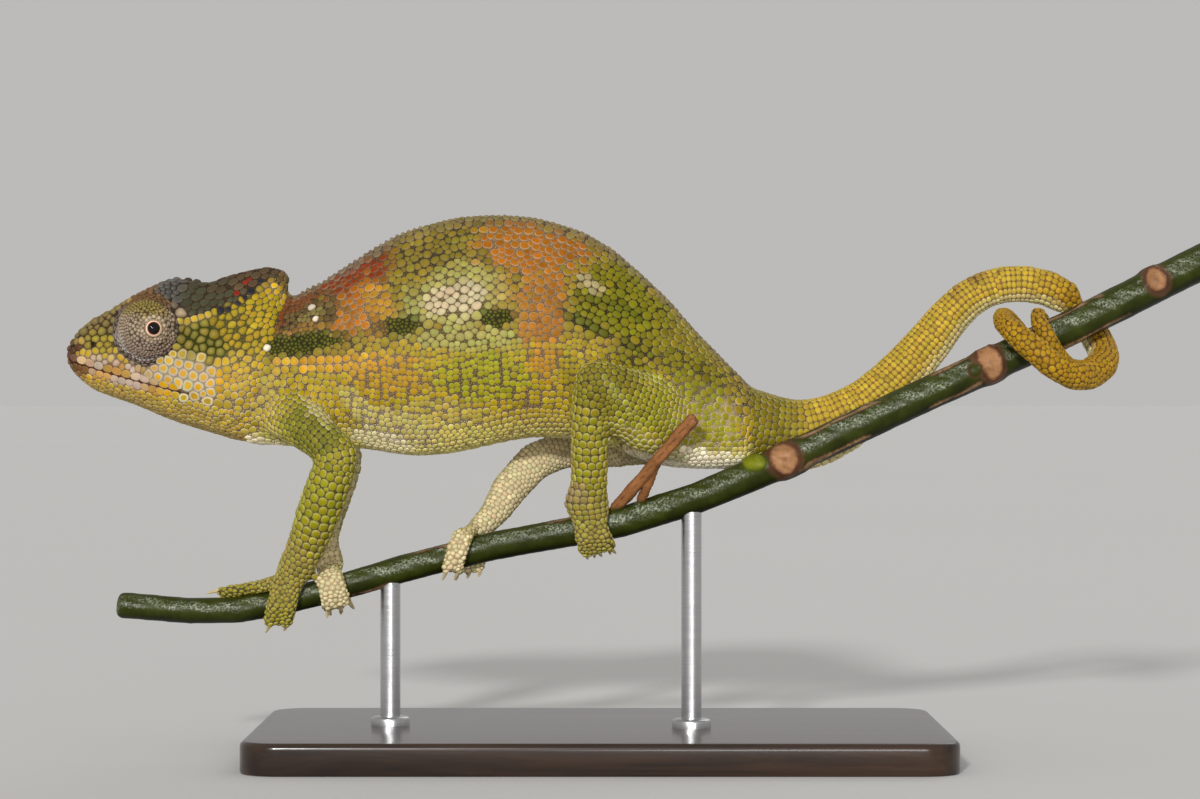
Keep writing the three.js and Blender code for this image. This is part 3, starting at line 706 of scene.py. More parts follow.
# The same for the scales of the legs, from the body to the grip. They are a little wider than
# long, and those of the far hind leg, which reaches forward, are all of one size.
ARM_LONG = [(0, 0.9), (0.3, 0.95), (0.45, 1.3), (0.7, 1.45), (0.85, 1.05), (1, 0.85)]
THIGH_LONG = [(0, 1.1), (0.3, 0.95), (0.48, 0.95), (0.6, 1.25), (0.8, 1.25), (1, 0.9)]
LEG_WIDER = 1.04
TUBE_STEP = 0.25
TUBE_REACH = 9.0  # no tube is thicker than this from its middle line to its skin

# The middle lines of the legs from the body to the grip, on the animal's own side.
LEG_LINES = {
    "front_left": [(-53, 4, 56.6), (-48.2, 7, 54), (-43.8, 9.6, 50.8), (-41, 10.9, 48),
                   (-42.6, 9.8, 43.6), (-44.6, 7.6, 38.4), (-46.8, 5.2, 33), (-49.4, 2.4, 28.6)],
    "front_right": [(-52, 4, 56.4), (-47.6, 7, 53.6), (-43.8, 9.6, 50.4), (-41.6, 10.9, 47.4),
                    (-42.9, 9.8, 43.4), (-44.3, 7.4, 38.6), (-44.8, 5, 34.6), (-43.2, 2.2, 30.2)],
    "hind_left": [(19, 3.4, 53.2), (11.5, 5.6, 53.2), (4.6, 9.6, 56.4), (-0.6, 11.6, 59.3),
                  (-1.6, 10.8, 54.5), (-1.6, 8.4, 48.4), (-1.8, 6.6, 43), (-1.4, 5.2, 38.4)],
    "hind_right": [(18, 3.4, 52.6), (11, 5.6, 51.8), (4.6, 9.2, 50.2), (-0.4, 11.3, 48.9),
                   (-5.8, 10.6, 48.9), (-10.6, 9.2, 47), (-14.6, 7, 42.6), (-19.9, 1.6, 35.9)],
}


def plant_tube(line, region, along, around, kind, brick):
    """Rings of scales round a middle line. along and around give their size for a share done."""
    fine = evenly(line, TUBE_STEP)
    ahead = unit(np.gradient(fine, axis=0))
    turns = np.radians(np.arange(0, 361, 9))
    up = np.array([0.0, 1.0, 0.0])
    done, ring = 0.0, 0
    while int(done / TUBE_STEP) < len(fine):
        at = int(done / TUBE_STEP)
        long, wide = along(at / len(fine)), around(at / len(fine))
        done += long
        way = ahead[at]
        up = unit(up - way * (up @ way))
        side = np.cross(way, up)

        def cast(turn):
            ray = up * math.cos(turn) + side * math.sin(turn)
            return skin_tree.ray_cast(Vector(fine[at]), Vector(ray), TUBE_REACH)

        radii = [cast(turn)[3] or math.nan for turn in turns]
        if np.isnan(radii).all():
            continue
        radii = np.where(np.isnan(radii), np.nanmedian(radii), radii)
        lengths = np.concatenate([[0], np.cumsum((radii[:-1] + radii[1:]) / 2 * np.diff(turns))])
        count = max(int(round(lengths[-1] / wide)), 5)
        phase = 0.5 * (ring % 2) if brick else 0
        for k in range(count):
            wanted = (k + phase + random.normal(0, 0.05)) / count * lengths[-1]
            hit, _, face, _ = cast(float(np.interp(wanted, lengths, turns)))
            if hit is not None and face_region[face] == region:
                size = 0.5 * min(long, wide)
                roots.plant(hit, size, kind, tuple(way), long / wide, 0.6, (region,))
        ring += 1


def plant_limbs():
    """Rings along the tail and the legs."""
    plant_tube(TAIL_LINE, REGION["tail"], lambda share: through(TAIL_LONG, share),
               lambda share: through(TAIL_WIDE, share), "ring", False)
    for leg in LEG_NAMES:
        line = rounded(on_side(LEG_LINES[leg], SIDES[leg.split("_")[1]]))
        sizes = ARM_LONG if leg.startswith("front") else THIGH_LONG
        if leg == "hind_right":
            plant_tube(line, REGION[leg], lambda share: 0.72, lambda share: 0.95, "limb", True)
        else:
            plant_tube(line, REGION[leg], lambda share: through(sizes, share),
                       lambda share: LEG_WIDER * through(sizes, share), "limb", True)


# ---- the head

CREST = [(-69, 71.4), (-67.5, 69.9), (-65.8, 69.2), (-62.3, 70.3), (-58.3, 72), (-54.3, 74.3),
         (-51.8, 76.2), (-50.4, 78)]
MOUTH = [(-84.9, 63.5), (-81.9, 62.4), (-75.2, 60.4), (-70.5, 59.2), (-66.6, 58.2), (-64.8, 57.9)]
CHEEK = [(-71.5, 59.5), (-66, 58), (-60.6, 57)]
CROWN = [(-84, 0, 69), (-72, 0, 75.5), (-67.5, 0, 78), (-63, 0, 77)]
HEAD = (REGION["head"],)
TURRET = (REGION["turret"],)
NOSTRIL = (-80.6, 65.8)
SNOUT_KNOBS = [(-82.6, 66.3, 0.62), (-82.2, 67.9, 0.72), (-80.7, 67.7, 0.6), (-80.4, 69.4, 0.82),
               (-79.2, 67.9, 0.62), (-78.5, 69.1, 0.62), (-78.6, 70.5, 0.7), (-76.8, 72, 0.66),
               (-75.2, 73.2, 0.62), (-73.6, 74.2, 0.58)]
# Single scales of a colour of their own: (x, z), size and hue.
FRECKLES = [(-57.7, 73.9, 0.5, "scarlet"), (-56.5, 75.6, 0.42, "scarlet"),
            (-55.8, 76.1, 0.42, "scarlet"), (-55.5, 74.2, 0.55, "ink"), (-54, 75.9, 0.5, "ink"),
            (-60.2, 71, 0.6, "ink"), (-58.9, 71.3, 0.4, "ink"), (-57.4, 72.3, 0.42, "ink"),
            (-56.4, 73.1, 0.36, "ink"), (-66.2, 70.6, 0.8, "sand"), (-45.8, 71.6, 0.62, "chalk"),
            (-45, 69.8, 0.56, "chalk"), (-52.7, 65.2, 0.6, "chalk")]
TURRET_RADIUS = 5.4  # how wide a ring of beads is where it is widest
TURRET_BACK = 2.4  # how far the middle of a turret lies behind that of its ball
TURRET_RINGS = (0.33, 1.75)  # the rings of beads go from the lids to the foot, in radians


def plant_turrets():
    """Rings of beads from the lids of each eye to the foot of its turret."""
    for side, eye in EYES.items():
        gaze = gaze_of(side)
        base = eye - gaze * TURRET_BACK
        across = np.array([0.0, 0, 1])
        other = np.cross(gaze, across)
        tilt, foot = TURRET_RINGS
        while tilt < foot:
            radius = TURRET_RADIUS * math.sin(tilt)
            pitch = 0.3 + 0.2 * smoothstep(0.3, 0.9, tilt)
            count = int(2 * math.pi * radius / (1.25 * pitch))
            for k in range(count):
                turn = 2 * math.pi * (k + random.normal(0, 0.1)) / count + tilt * 5
                out = across * math.cos(turn) + other * math.sin(turn)
                way = gaze * math.cos(tilt) + out * math.sin(tilt)
                hit, _, face, _ = skin_tree.ray_cast(Vector(base), Vector(way), 9)
                if hit is not None and face_region[face] == REGION["turret"]:
                    roots.plant(hit, pitch / 2, "bead", np.cross(way, out), 1.3, 0.7, TURRET)
            tilt += pitch / 5.2


def turret_border(side):
    """The closed line on the skin where a turret meets the head, starting anywhere."""
    edges = edges_of(skin)
    one, two = skin_region[edges[:, 0]], skin_region[edges[:, 1]]
    met = ((one == TURRET[0]) & (two == HEAD[0])) | ((one == HEAD[0]) & (two == TURRET[0]))
    points = skin_points[edges[met]].mean(1)
    points = points[points[:, 1] * side > 0]
    step = points - EYES[side]
    turn = np.arctan2(step[:, 2], step @ np.cross(gaze_of(side), [0, 0, 1.0]))
    stops = np.linspace(-math.pi, math.pi, 33)[:-1]
    line = []
    for stop in stops:
        off = abs((turn - stop + math.pi) % (2 * math.pi) - math.pi)
        line.append(points[off < 0.16].mean(axis=0))
    return rounded(np.array(line + line[:1]), 2)


BORDERS = {side: turret_border(side) for side in SIDES.values()}
FOLD_ROWS = (-1.0, -0.6, -0.2, 0.2, 0.62)  # how far each row of a fold lies outside the border


def plant_folds():
    """Rings of long narrow scales where the skin of the head folds round each turret."""
    for line in BORDERS.values():
        middle = line[:-1].mean(axis=0)
        stops = evenly(line, 0.4)
        for row, shift in enumerate(FOLD_ROWS):
            for k in range(row % 2 * 2, len(stops) - 1, 3):
                here = stops[k]
                way = unit(stops[k + 1] - here)
                _, normal, _, _ = skin_tree.find_nearest(Vector(here))
                away = unit(np.cross(way, normal))
                away = away if away @ (here - middle) > 0 else -away
                behind = here[0] > middle[0] + 1.5 and here[2] < middle[2] + 3.5
                if not behind or shift == -0.2:
                    roots.plant(here + away * shift, 0.2, "fold", way, 3.4, 0.75, HEAD + TURRET)


def plant_head():
    """The marked scales of the head, from the eyes out to the lips, crest, cheeks and crown."""
    plant_folds()
    plant_turrets()
    for side in SIDES.values():
        plant_line(over_skin(MOUTH, side), 0.3, "gap", side, 0.14, 0.2, HEAD)
        nostril = on_side(over_skin([NOSTRIL], side)[0], side)
        roots.plant(nostril, 0.36, "gap", (1, 0, 0))
        for x, z, size, hue in FRECKLES:
            kind = "roof" if hue in ("scarlet", "ink") else "tubercle"
            for spot in over_skin([(x, z)], side):
                p = on_side(spot, side)
                roots.plant(p, size, kind, (1, 0, 1), 1.15, 0.5, HEAD + NECK_TRUNK)
        for x, z, size in SNOUT_KNOBS:
            for spot in over_skin([(x, z)], side):
                roots.plant(on_side(spot, side), size, "knob", (1, 0, 0), 1, 0.62, HEAD)
        plant_line(over_skin(MOUTH, side, 0.68), 1.6, "lip", side, 1.24, 0.5, HEAD, stretch=1.35)
        plant_line(over_skin(MOUTH, side, -0.66), 1.3, "lip", side, 1.14, 0.5, HEAD, stretch=1.2)
        plant_line(over_skin(CREST, side), 1.15, "tubercle", side, 1.14, regions=HEAD)
        for row, lift in enumerate((1.4, 2.95, 4.5, 6.0)):
            line = [(x + 0.85 * (row % 2), z) for x, z in CHEEK]
            plant_line(over_skin(line, side, lift), 1.68, "spot", side, 1.6, 0.6, HEAD)
    plant_line(CROWN, 1.3, "tubercle", 1, 1.3, regions=HEAD)


def ridge_over(stations):
    """The places of the ridge of the back over stations along X."""
    hits = [skin_tree.ray_cast(Vector((x, 0, 120)), Vector((0, 0, -1)))[0] for x in stations]
    return np.array([tuple(hit) for hit in hits])


def plant_crest():
    """The low saw edge along the middle of the back, tallest over the shoulders."""
    for p in evenly(ridge_over(np.arange(-47.5, ROWS_END, 0.5)), 0.98):
        kind = "cone" if p[0] < SHOULDERS_END else "bead"
        roots.plant(p, 0.5, kind, (1, 0, 0), 1.0, 0.6, NECK_TRUNK)


DIAGONAL = (0.72, 0, 0.7)
LEVEL = (1, 0, 0.2)


def head_scale(p):
    """The pitch, kind, lie and stretch of a scale on the head."""
    x, _, z = p
    above = z - through(CREST, x)
    behind = x > -58 - 0.3 * (z - 62)
    if x > -67 and above > 0.4:
        return (1.5, "roof", DIAGONAL, 1.5) if above > 1.4 else (1.05, "roof", DIAGONAL, 1.3)
    if x < -66 and z > 71.5:
        return 1.05, "tubercle", LEVEL, 1
    if x > -67.5 and z > 62.6:
        if x > -53.6 - 0.3 * (z - 62):
            return 1.0, "plate", DIAGONAL, 1.4
        return (1.2, "tubercle", DIAGONAL, 1.4) if behind else (1.4, "tubercle", LEVEL, 1)
    if z > 57 - 0.22 * (x + 66) and x > -72:
        if behind:
            return 0.98, "plate", (0.85, 0, 0.5), 1.3
        return (1.5, "spot", LEVEL, 1) if x < -60.6 else (1.3, "plate", LEVEL, 1)
    if x < -75 and z > 62.5:
        return 1.1, "tubercle", LEVEL, 1
    if z > 57.5 - 0.25 * (x + 66):
        return 0.95, "plate", LEVEL, 1
    return 0.85, "plate", LEVEL, 1.1


def scale_at(p, region):
    """The pitch, kind, lie and stretch of a scale that fills a gap between the rows."""
    name = REGIONS[region]
    if name == "head":
        return head_scale(p)
    if name == "turret":
        return 0.6, "bead", LEVEL, 1
    if name.endswith("_toes"):
        return 0.74, "granule", LEVEL, 1.1
    if name in LEG_NAMES:
        return 0.95, "limb", LEVEL, 1
    if name == "tail":
        return (0.45 if np.linalg.norm(p - TAIL_TIP) < 5 else 0.95), "ring", LEVEL, 1
    if in_streak(p):
        return 0.56, "granule", LEVEL, 1
    return (0.78, "plate", DIAGONAL, 1.3) if on_nape(p) else (1.1, "plate", LEVEL, 1.1)


GRAIN = 0.17  # size of the grains in the net
PASSES = (1.0, 0.78, 0, 0, 0)  # the size of the scales in each pass; 0 is a pass of grains


def fill_between():
    """Scatters scales where the rows leave room, the largest first, then grains in the net."""
    corners = skin_points[np.array([face[:3] for face in skin_faces])]
    for shrink in PASSES:
        share = random.dirichlet((1, 1, 1), len(corners))
        middles = (corners * share[:, :, None]).sum(1)
        for face in random.permutation(len(middles)):
            p = middles[face]
            if shrink:
                pitch, kind, lie, stretch = scale_at(p, face_region[face])
                size = pitch / 2 * shrink * random.uniform(0.92, 1.08)
                room = 0.88
            elif face_region[face] in NECK_TRUNK or (face_region[face] in HEAD and p[0] > -59.5):
                kind, lie, stretch, size = "grain", LEVEL, 1, GRAIN * random.uniform(0.8, 1.2)
                room = 0.9 if p[0] > ARMPIT and p[2] < 64 else 1.08
            else:
                continue
            if roots.clear(p, size, room):
                roots.plant(p, size, kind, lie, stretch, room)


plant_crest()
plant_head()
plant_trunk()
plant_limbs()
fill_between()

# ---------------------------------------------------------------- markings

# Each hue is the middle of a scale, its rim and the groove round it.
HUES = {
    "belly": ((212, 200, 104), (226, 214, 150), (146, 126, 80)),
    "flank": ((158, 134, 10), (190, 174, 126), (106, 86, 60)),
    "upper": ((130, 110, 22), (152, 136, 90), (74, 62, 38)),
    "ridge": ((112, 96, 66), (126, 112, 92), (70, 58, 46)),
    "ridge_grey": ((106, 84, 70), (140, 122, 108), (84, 68, 58)),
    "red": ((120, 51, 12), (156, 124, 98), (108, 84, 66)),
    "ember": ((126, 47, 10), (132, 94, 68), (78, 54, 36)),
    "orange": ((154, 91, 9), (184, 156, 120), (124, 100, 74)),
    "orange_pale": ((168, 116, 18), (188, 158, 112), (120, 95, 65)),
    "olive": ((123, 106, 32), (124, 112, 70), (62, 52, 32)),
    "pale": ((189, 170, 137), (182, 166, 132), (98, 84, 58)),
    "pale_green": ((150, 144, 72), (166, 156, 108), (88, 76, 40)),
    "deep": ((74, 80, 14), (60, 60, 18), (34, 32, 12)),
    "bark": ((90, 71, 36), (108, 90, 62), (46, 35, 22)),
    "gold": ((184, 138, 12), (200, 178, 136), (126, 102, 72)),
    "green": ((144, 138, 8), (180, 170, 112), (90, 76, 44)),
    "hip": ((116, 110, 10), (122, 114, 48), (46, 42, 12)),
    "rump": ((118, 104, 10), (160, 148, 92), (90, 80, 42)),
    "saddle": ((140, 132, 20), (198, 186, 138), (156, 138, 102)),
    "cream": ((246, 234, 204), (248, 240, 214), (200, 184, 156)),
    "leg": ((138, 128, 12), (170, 160, 96), (88, 78, 36)),
    "arm": ((112, 108, 14), (142, 136, 72), (66, 62, 28)),
    "knee": ((118, 108, 12), (140, 130, 68), (72, 62, 26)),
    "thigh": ((130, 125, 8), (172, 162, 82), (78, 70, 24)),
    "heel": ((146, 124, 74), (160, 142, 110), (104, 84, 58)),
    "foot": ((146, 132, 44), (162, 150, 96), (96, 82, 44)),
    "forearm": ((138, 134, 8), (160, 152, 86), (84, 78, 24)),
    "inner": ((206, 190, 146), (212, 198, 158), (168, 150, 110)),
    "axilla": ((178, 164, 84), (204, 192, 158), (128, 112, 92)),
    "tail": ((180, 150, 38), (190, 164, 88), (126, 96, 44)),
    "tail_under": ((206, 190, 122), (216, 202, 156), (154, 134, 100)),
    "tail_coil": ((160, 120, 14), (156, 122, 48), (100, 72, 26)),
    "tail_bar": ((116, 84, 36), (132, 104, 66), (74, 54, 30)),
    "cheek": ((182, 148, 20), (196, 178, 128), (116, 98, 62)),
    "spotted": ((188, 140, 8), (174, 161, 134), (150, 134, 110)),
    "temple": ((124, 112, 50), (98, 94, 34), (50, 56, 14)),
    "casque": ((158, 131, 10), (156, 142, 74), (78, 70, 30)),
    "roof": ((64, 64, 46), (78, 66, 44), (56, 42, 28)),
    "umber": ((84, 64, 40), (98, 80, 56), (50, 36, 24)),
    "crown": ((78, 75, 70), (108, 102, 94), (46, 42, 38)),
    "brow": ((116, 86, 52), (102, 76, 48), (74, 54, 36)),
    "snout": ((122, 104, 56), (126, 106, 72), (56, 42, 26)),
    # The next hue is the brown of the snout tip, darkened further as painted shade.
    "muzzle_and_shade": ((90, 58, 36), (108, 80, 60), (52, 32, 20)),
    "lore": ((150, 134, 40), (148, 132, 72), (68, 60, 26)),
    "lip": ((170, 148, 132), (174, 153, 137), (132, 104, 82)),
    "lip_blotch": ((168, 120, 32), (174, 136, 80), (108, 68, 30)),
    "throat": ((162, 134, 52), (174, 156, 112), (98, 78, 48)),
    "gular": ((166, 138, 32), (200, 186, 148), (120, 101, 74)),
    "turret": ((156, 138, 115), (134, 114, 95), (80, 63, 50)),
    "turret_top": ((136, 120, 58), (112, 96, 52), (68, 53, 33)),
    "turret_low": ((148, 130, 113), (126, 108, 94), (74, 59, 50)),
    "lid_edge": ((186, 168, 140), (172, 152, 124), (150, 130, 102)),
    "fold": ((120, 106, 94), (84, 70, 60), (46, 36, 30)),
    "crease": ((140, 138, 36), (190, 184, 128), (112, 102, 66)),
    # The next hue is a painted highlight on the wet fold low on each turret.
    "painted_highlight": ((188, 180, 172), (160, 150, 140), (100, 88, 80)),
    "mouth": ((92, 44, 18), (92, 44, 18), (70, 30, 12)),
    # The next hue is painted shade for the nostril's opening.
    "nostril": ((60, 20, 10), (60, 20, 10), (30, 8, 4)),
    "scarlet": ((138, 36, 16), (110, 66, 46), (84, 58, 40)),
    "ink": ((34, 34, 42), (56, 52, 44), (80, 62, 44)),
    "sand": ((172, 152, 122), (146, 128, 102), (96, 78, 58)),
    "chalk": ((208, 196, 174), (186, 172, 146), (104, 90, 62)),
}

# Marks on each flank: hue, middle (x, z), half length, half height, slant in degrees, strength.
BODY_MARKS = [
    ("red", -39, 75.6, 8, 3.8, 34, 1),
    ("ember", -36.6, 77.7, 4.6, 1.9, 36, 0.8),
    ("ridge_grey", -39.4, 79.6, 13, 1.6, 32, 0.85),
    ("orange", -39.4, 70.6, 4.2, 3.6, 44, 1),
    ("orange_pale", -35, 72.6, 2.6, 4.2, 24, 0.8),
    ("olive", -23.4, 80.2, 9.6, 5, 12, 1),
    ("pale_green", -22.8, 73.6, 8.8, 5, 12, 1),
    ("pale", -23, 73, 5.4, 2.7, 16, 0.85),
    ("bark", -47.4, 70.4, 6.4, 4, 24, 1),
    ("ember", -51, 71.6, 1.8, 3.6, 0, 0.45),
    ("ember", -46.8, 73, 4.6, 1.1, 36, 0.45),
    ("pale_green", -45.4, 70.6, 3.4, 0.9, 28, 0.35),
    ("orange_pale", -47, 68.2, 4.4, 0.9, 14, 0.35),
    # The streaks are laid in the deep hue; the second is partly painted shadow where a fold of the
    # flank shades it.
    *[("deep", x, z, long * 1.12, high * 1.25, 6, 0.9) for x, z, long, high in STREAKS],
    ("pale_green", -21.6, 66.3, 9.4, 1.8, 1, 1),
    ("gold", -40, 62.8, 13, 1.6, 3, 1),
    ("axilla", -32, 52.6, 7.5, 2.6, -24, 0.9),
    ("axilla", -38.4, 56, 5, 2, -50, 0.8),
    ("cream", -54, 50, 5.5, 1.2, -12, 0.6),
    ("cream", -34.5, 50.4, 6, 1.6, -14, 0.4),
    ("axilla", -54.6, 58, 4.6, 5, 0, 0.35),
    ("orange", -35.6, 68, 2.4, 1.6, 10, 0.4),
    ("cream", -7, 49.4, 5, 1.8, 0, 0.45),
    ("orange_pale", -33.4, 60.6, 8, 3, 0, 0.5),
    ("green", -18, 60.4, 8.6, 4.4, 0, 0.9),
    ("axilla", -25, 55, 7, 2.6, 0, 0.4),
    ("orange", -15.4, 74.6, 2.4, 3, 0, 0.25),
    ("orange", -10.6, 80.8, 9.4, 4.8, -12, 1),
    ("orange", -8.6, 72, 4.2, 7.4, 0, 0.85),
    ("orange_pale", -8.8, 63, 3, 3.2, 0, 0.75),
    # A painted shadow along the edge of the knee, laid in the hip hue.
    ("hip", -4.6, 61, 2.2, 4, 0, 0.4),
    ("hip", 1.6, 72.2, 7.2, 6.2, -20, 1),
    ("hip", 8.6, 68.4, 5, 5, -50, 0.8),
    ("deep", -2.5, 69.2, 5, 1.1, -28, 0.75),
    ("deep", 1.6, 72, 7, 0.9, -22, 0.6),
    ("deep", 5.3, 64.8, 4.6, 0.9, -24, 0.75),
    ("pale", -1.6, 75.2, 2.6, 1.3, -30, 0.5),
    ("hip", 4.4, 62, 4.8, 2.4, -20, 0.8),
    ("rump", 15, 65, 6.5, 6, -50, 0.9),
    ("saddle", 15, 54, 9, 6, -20, 1),
    ("hip", 15, 60.5, 5.5, 3.2, -34, 0.6),
    ("cream", 13.5, 47.4, 11, 2.2, -4, 0.9),
]
HEAD_MARKS = [
    ("snout", -80, 69.5, 6, 3, 40, 1),
    ("lore", -78.4, 66.2, 4, 1.9, 0, 0.8),
    ("crown", -69, 76.4, 5.5, 2.2, 0, 1),
    ("brow", -72, 74, 4.6, 1.5, 12, 1),
    # The muzzle hue is the brown of the snout tip, darkened further as painted shade at the front
    # of the snout.
    ("muzzle_and_shade", -84.8, 64.8, 2.2, 2.2, 0, 1),
    ("lip", -76, 61, 9, 1.8, -15, 1),
    ("lip_blotch", -82.6, 61.6, 2.2, 1.6, -20, 0.9),
    ("muzzle_and_shade", -83.6, 61.8, 2.3, 1.7, -20, 0.85),
    ("lip_blotch", -76.8, 61.7, 2.6, 0.9, -14, 0.85),
    ("lip_blotch", -79, 60.6, 2, 0.6, -14, 0.8),
    ("lip_blotch", -69.8, 58.2, 3, 0.8, -14, 0.8),
    ("throat", -74, 55.5, 10, 2.6, -18, 1),
    ("gular", -60, 56, 9, 5.2, 0, 1),
    ("spotted", -65.5, 60.6, 6.8, 3.2, -10, 1),
    ("temple", -62.4, 66.4, 5.6, 3.0, 0, 1),
    ("casque", -55, 69.6, 6, 6.4, 30, 1),
]
ROOF_MARKS = [
    ("umber", -55, 77.4, 4.5, 2.2, 32, 0.8),
    ("umber", -50.6, 77, 1.5, 2.6, 0, 0.9),
    ("umber", -61, 74.6, 2.5, 1.2, 10, 0.6),
    ("umber", -54.4, 75, 3, 1.6, 40, 0.35),
]
LEG_MARKS = {
    "hind": [("knee", 1.2, 59, 5.6, 4.6, 0, 1), ("thigh", 8, 54.4, 6, 4, 20, 0.9),
             ("crease", 3.2, 57.2, 5, 0.7, -52, 0.5), ("crease", 8, 60.6, 7, 0.7, -27, 0.5),
             ("saddle", 6, 50.4, 5, 2.2, -30, 0.7),
             ("heel", -4, 40.8, 2.2, 3, 0, 0.9), ("foot", -1, 37, 5, 4.6, 0, 1)],
    "front": [("arm", -45, 52.2, 5.8, 4.2, -40, 1), ("axilla", -43.4, 56, 5, 2.4, -35, 0.8),
              ("forearm", -44.6, 42, 6, 5.4, 0, 1), ("foot", -49, 30, 6, 5.4, 0, 1)],
}

LINEAR_HUES = {name: np.array([linear(c) for c in hues]) for name, hues in HUES.items()}


def all_over(hue, points):
    """A hue on every point: its middle, its rim and its groove."""
    return LINEAR_HUES[hue][None].repeat(len(points), 0)


def lay(colours, hue, weight):
    """Mixes a hue into colours, which hold a middle, a rim and a groove for each point."""
    w = np.clip(weight, 0, 1)[:, None, None]
    colours += w * (LINEAR_HUES[hue][None] - colours)


def lay_marks(colours, points, marks, ragged):
    """Lays blotches with ragged edges. ragged is a random share for each point."""
    for hue, x, z, half_long, half_high, slant, strength in marks:
        turn = math.radians(slant)
        dx, dz = points[:, 0] - x, points[:, 2] - z
        u = (dx * math.cos(turn) + dz * math.sin(turn)) / half_long
        v = (-dx * math.sin(turn) + dz * math.cos(turn)) / half_high
        away = np.sqrt(u * u + v * v) + ragged
        lay(colours, hue, strength * (1 - smoothstep(0.72, 1.12, away)))


def underside_of_tail(points, normals):
    """How far each point of the tail faces the belly side, and its share along the tail."""
    line = evenly(TAIL_LINE, 0.5)
    ahead = unit(np.gradient(line, axis=0))
    under = np.zeros_like(line)
    under[0] = (0, 0, -1)
    for i in range(1, len(under)):
        under[i] = unit(under[i - 1] - ahead[i] * (under[i - 1] @ ahead[i]))
    tree = tree_of(line)
    at = np.array([tree.find(p)[1] for p in points], int)
    return (normals * under[at]).sum(1), at / len(line)


def away_from_line(points, line):
    """Distance of each point from a line through a few places."""
    tree = tree_of(evenly(np.array(line, float), 0.3))
    return np.array([tree.find(p)[2] for p in points])


RIDGE = ridge_over(np.arange(-58, ROWS_END, 1))
BELLY_Z = 48
MOUTH_LINE = evenly(np.array(over_skin(MOUTH, 1), float), 0.3)
TAIL_BARS = (0.435, 0.465)  # where the dark bars of the tail lie, as shares of its length


def lay_body(points, ragged):
    """The colours of the trunk and neck, by how far up from the belly to the ridge a point is."""
    x, y, z = points.T
    top = np.interp(x, RIDGE[:, 0], RIDGE[:, 2])
    share = np.clip((z - BELLY_Z) / (top - BELLY_Z), 0, 1)
    colours = all_over("belly", points)
    lay(colours, "flank", smoothstep(0.0, 0.22, share))
    lay(colours, "upper", smoothstep(0.42, 0.62, share))
    lay_marks(colours, points, BODY_MARKS, ragged)
    lay(colours, "ridge", 0.6 * (1 - smoothstep(0.6, 2.2, top - z)) * (abs(y) < 2))
    lay_freckles(colours, points)
    return colours


def lay_freckles(colours, points):
    """Colours the skin round the single scales that have a colour of their own."""
    for x, z, size, hue in FRECKLES:
        away = np.hypot(points[:, 0] - x, points[:, 2] - z)
        lay(colours, hue, 1 - smoothstep(size * 0.4, size * 0.9, away))


def lay_leg(colours, leg, points, normals, ragged):
    """The colours of a leg, which take over from those of the body a little way down it."""
    side = SIDES[leg.split("_")[1]]
    own = all_over("leg", points)
    lay_marks(own, points, LEG_MARKS[leg.split("_")[0]], ragged)
    root = on_side(LEG_LINES[leg][0], side)
    away = np.linalg.norm(points - root, axis=1) + 4 * ragged
    near, far = (3.5, 8) if leg.startswith("front") else (5, 12)
    take = smoothstep(near, far, away)[:, None, None]
    mixed = colours + take * (own - colours)
    lay(mixed, "inner", 1 - smoothstep(-0.6, 0.1, side * normals[:, 1]))
    return mixed


def lay_tail(points, normals):
    """The colours of the tail: ochre with two dark bars over the arch, and pale underneath."""
    under, share = underside_of_tail(points, normals)
    colours = all_over("rump", points)
    lay(colours, "tail", smoothstep(0.02, 0.14, share))
    lay(colours, "tail_coil", smoothstep(0.52, 0.62, share))
    for middle in TAIL_BARS:
        bar = 1 - smoothstep(0.005, 0.012, abs(share - middle) + 0.004 * ripple(points, 8))
        lay(colours, "tail_bar", 0.6 * bar * smoothstep(0.2, 0.7, -under))
    lay(colours, "tail_under", smoothstep(0.2, 0.9, under) * smoothstep(0.03, 0.12, share))
    return colours


def lay_head(points, normals, ragged):
    """The colours of the head, with its dark roof over the crest and its mouth line."""
    x, y, z = points.T
    colours = all_over("cheek", points)
    lay_marks(colours, points, HEAD_MARKS, ragged)
    above = z - through(CREST, x)
    lay(colours, "roof", smoothstep(0.1, 0.6, above) * smoothstep(-68, -66, x))
    lay(colours, "crown", smoothstep(0.2, 0.6, normals[:, 2]) * smoothstep(-71.5, -69.5, x)
        * (1 - smoothstep(-67, -65.6, x)))
    lay_marks(colours, points, ROOF_MARKS, ragged)
    lay(colours, "throat", smoothstep(0.5, 0.9, -normals[:, 2]))
    lay_folds(colours, points)
    flat = points * [1, 0, 1]
    away = away_from_line(flat, MOUTH_LINE * [1, 0, 1])
    lay(colours, "mouth", (1 - smoothstep(0.2, 0.42, away)) * (abs(y) > 0.5))
    # Painted shade: the nostril is a dark spot on unbroken skin, standing for the depth of its
    # opening.
    hole = np.hypot(x - NOSTRIL[0], z - NOSTRIL[1])
    lay(colours, "nostril", 1 - smoothstep(0.4, 0.62, hole))
    lay_freckles(colours, points)
    return colours


def lay_folds(colours, points):
    """The dark folds round the turrets, browner above the eye."""
    for side, line in BORDERS.items():
        middle = line[:-1].mean(axis=0)
        behind = smoothstep(0.5, 2.5, points[:, 0] - middle[0])
        behind *= 1 - smoothstep(2.5, 4, points[:, 2] - middle[2])
        wide = 1.15 - 0.75 * behind
        near = 1 - smoothstep(0.6, 1.0, away_from_line(points, line) / wide)
        near *= side * points[:, 1] > 0
        lay(colours, "fold", near)
        lay(colours, "brow", near * smoothstep(70.5, 72.5, points[:, 2]))


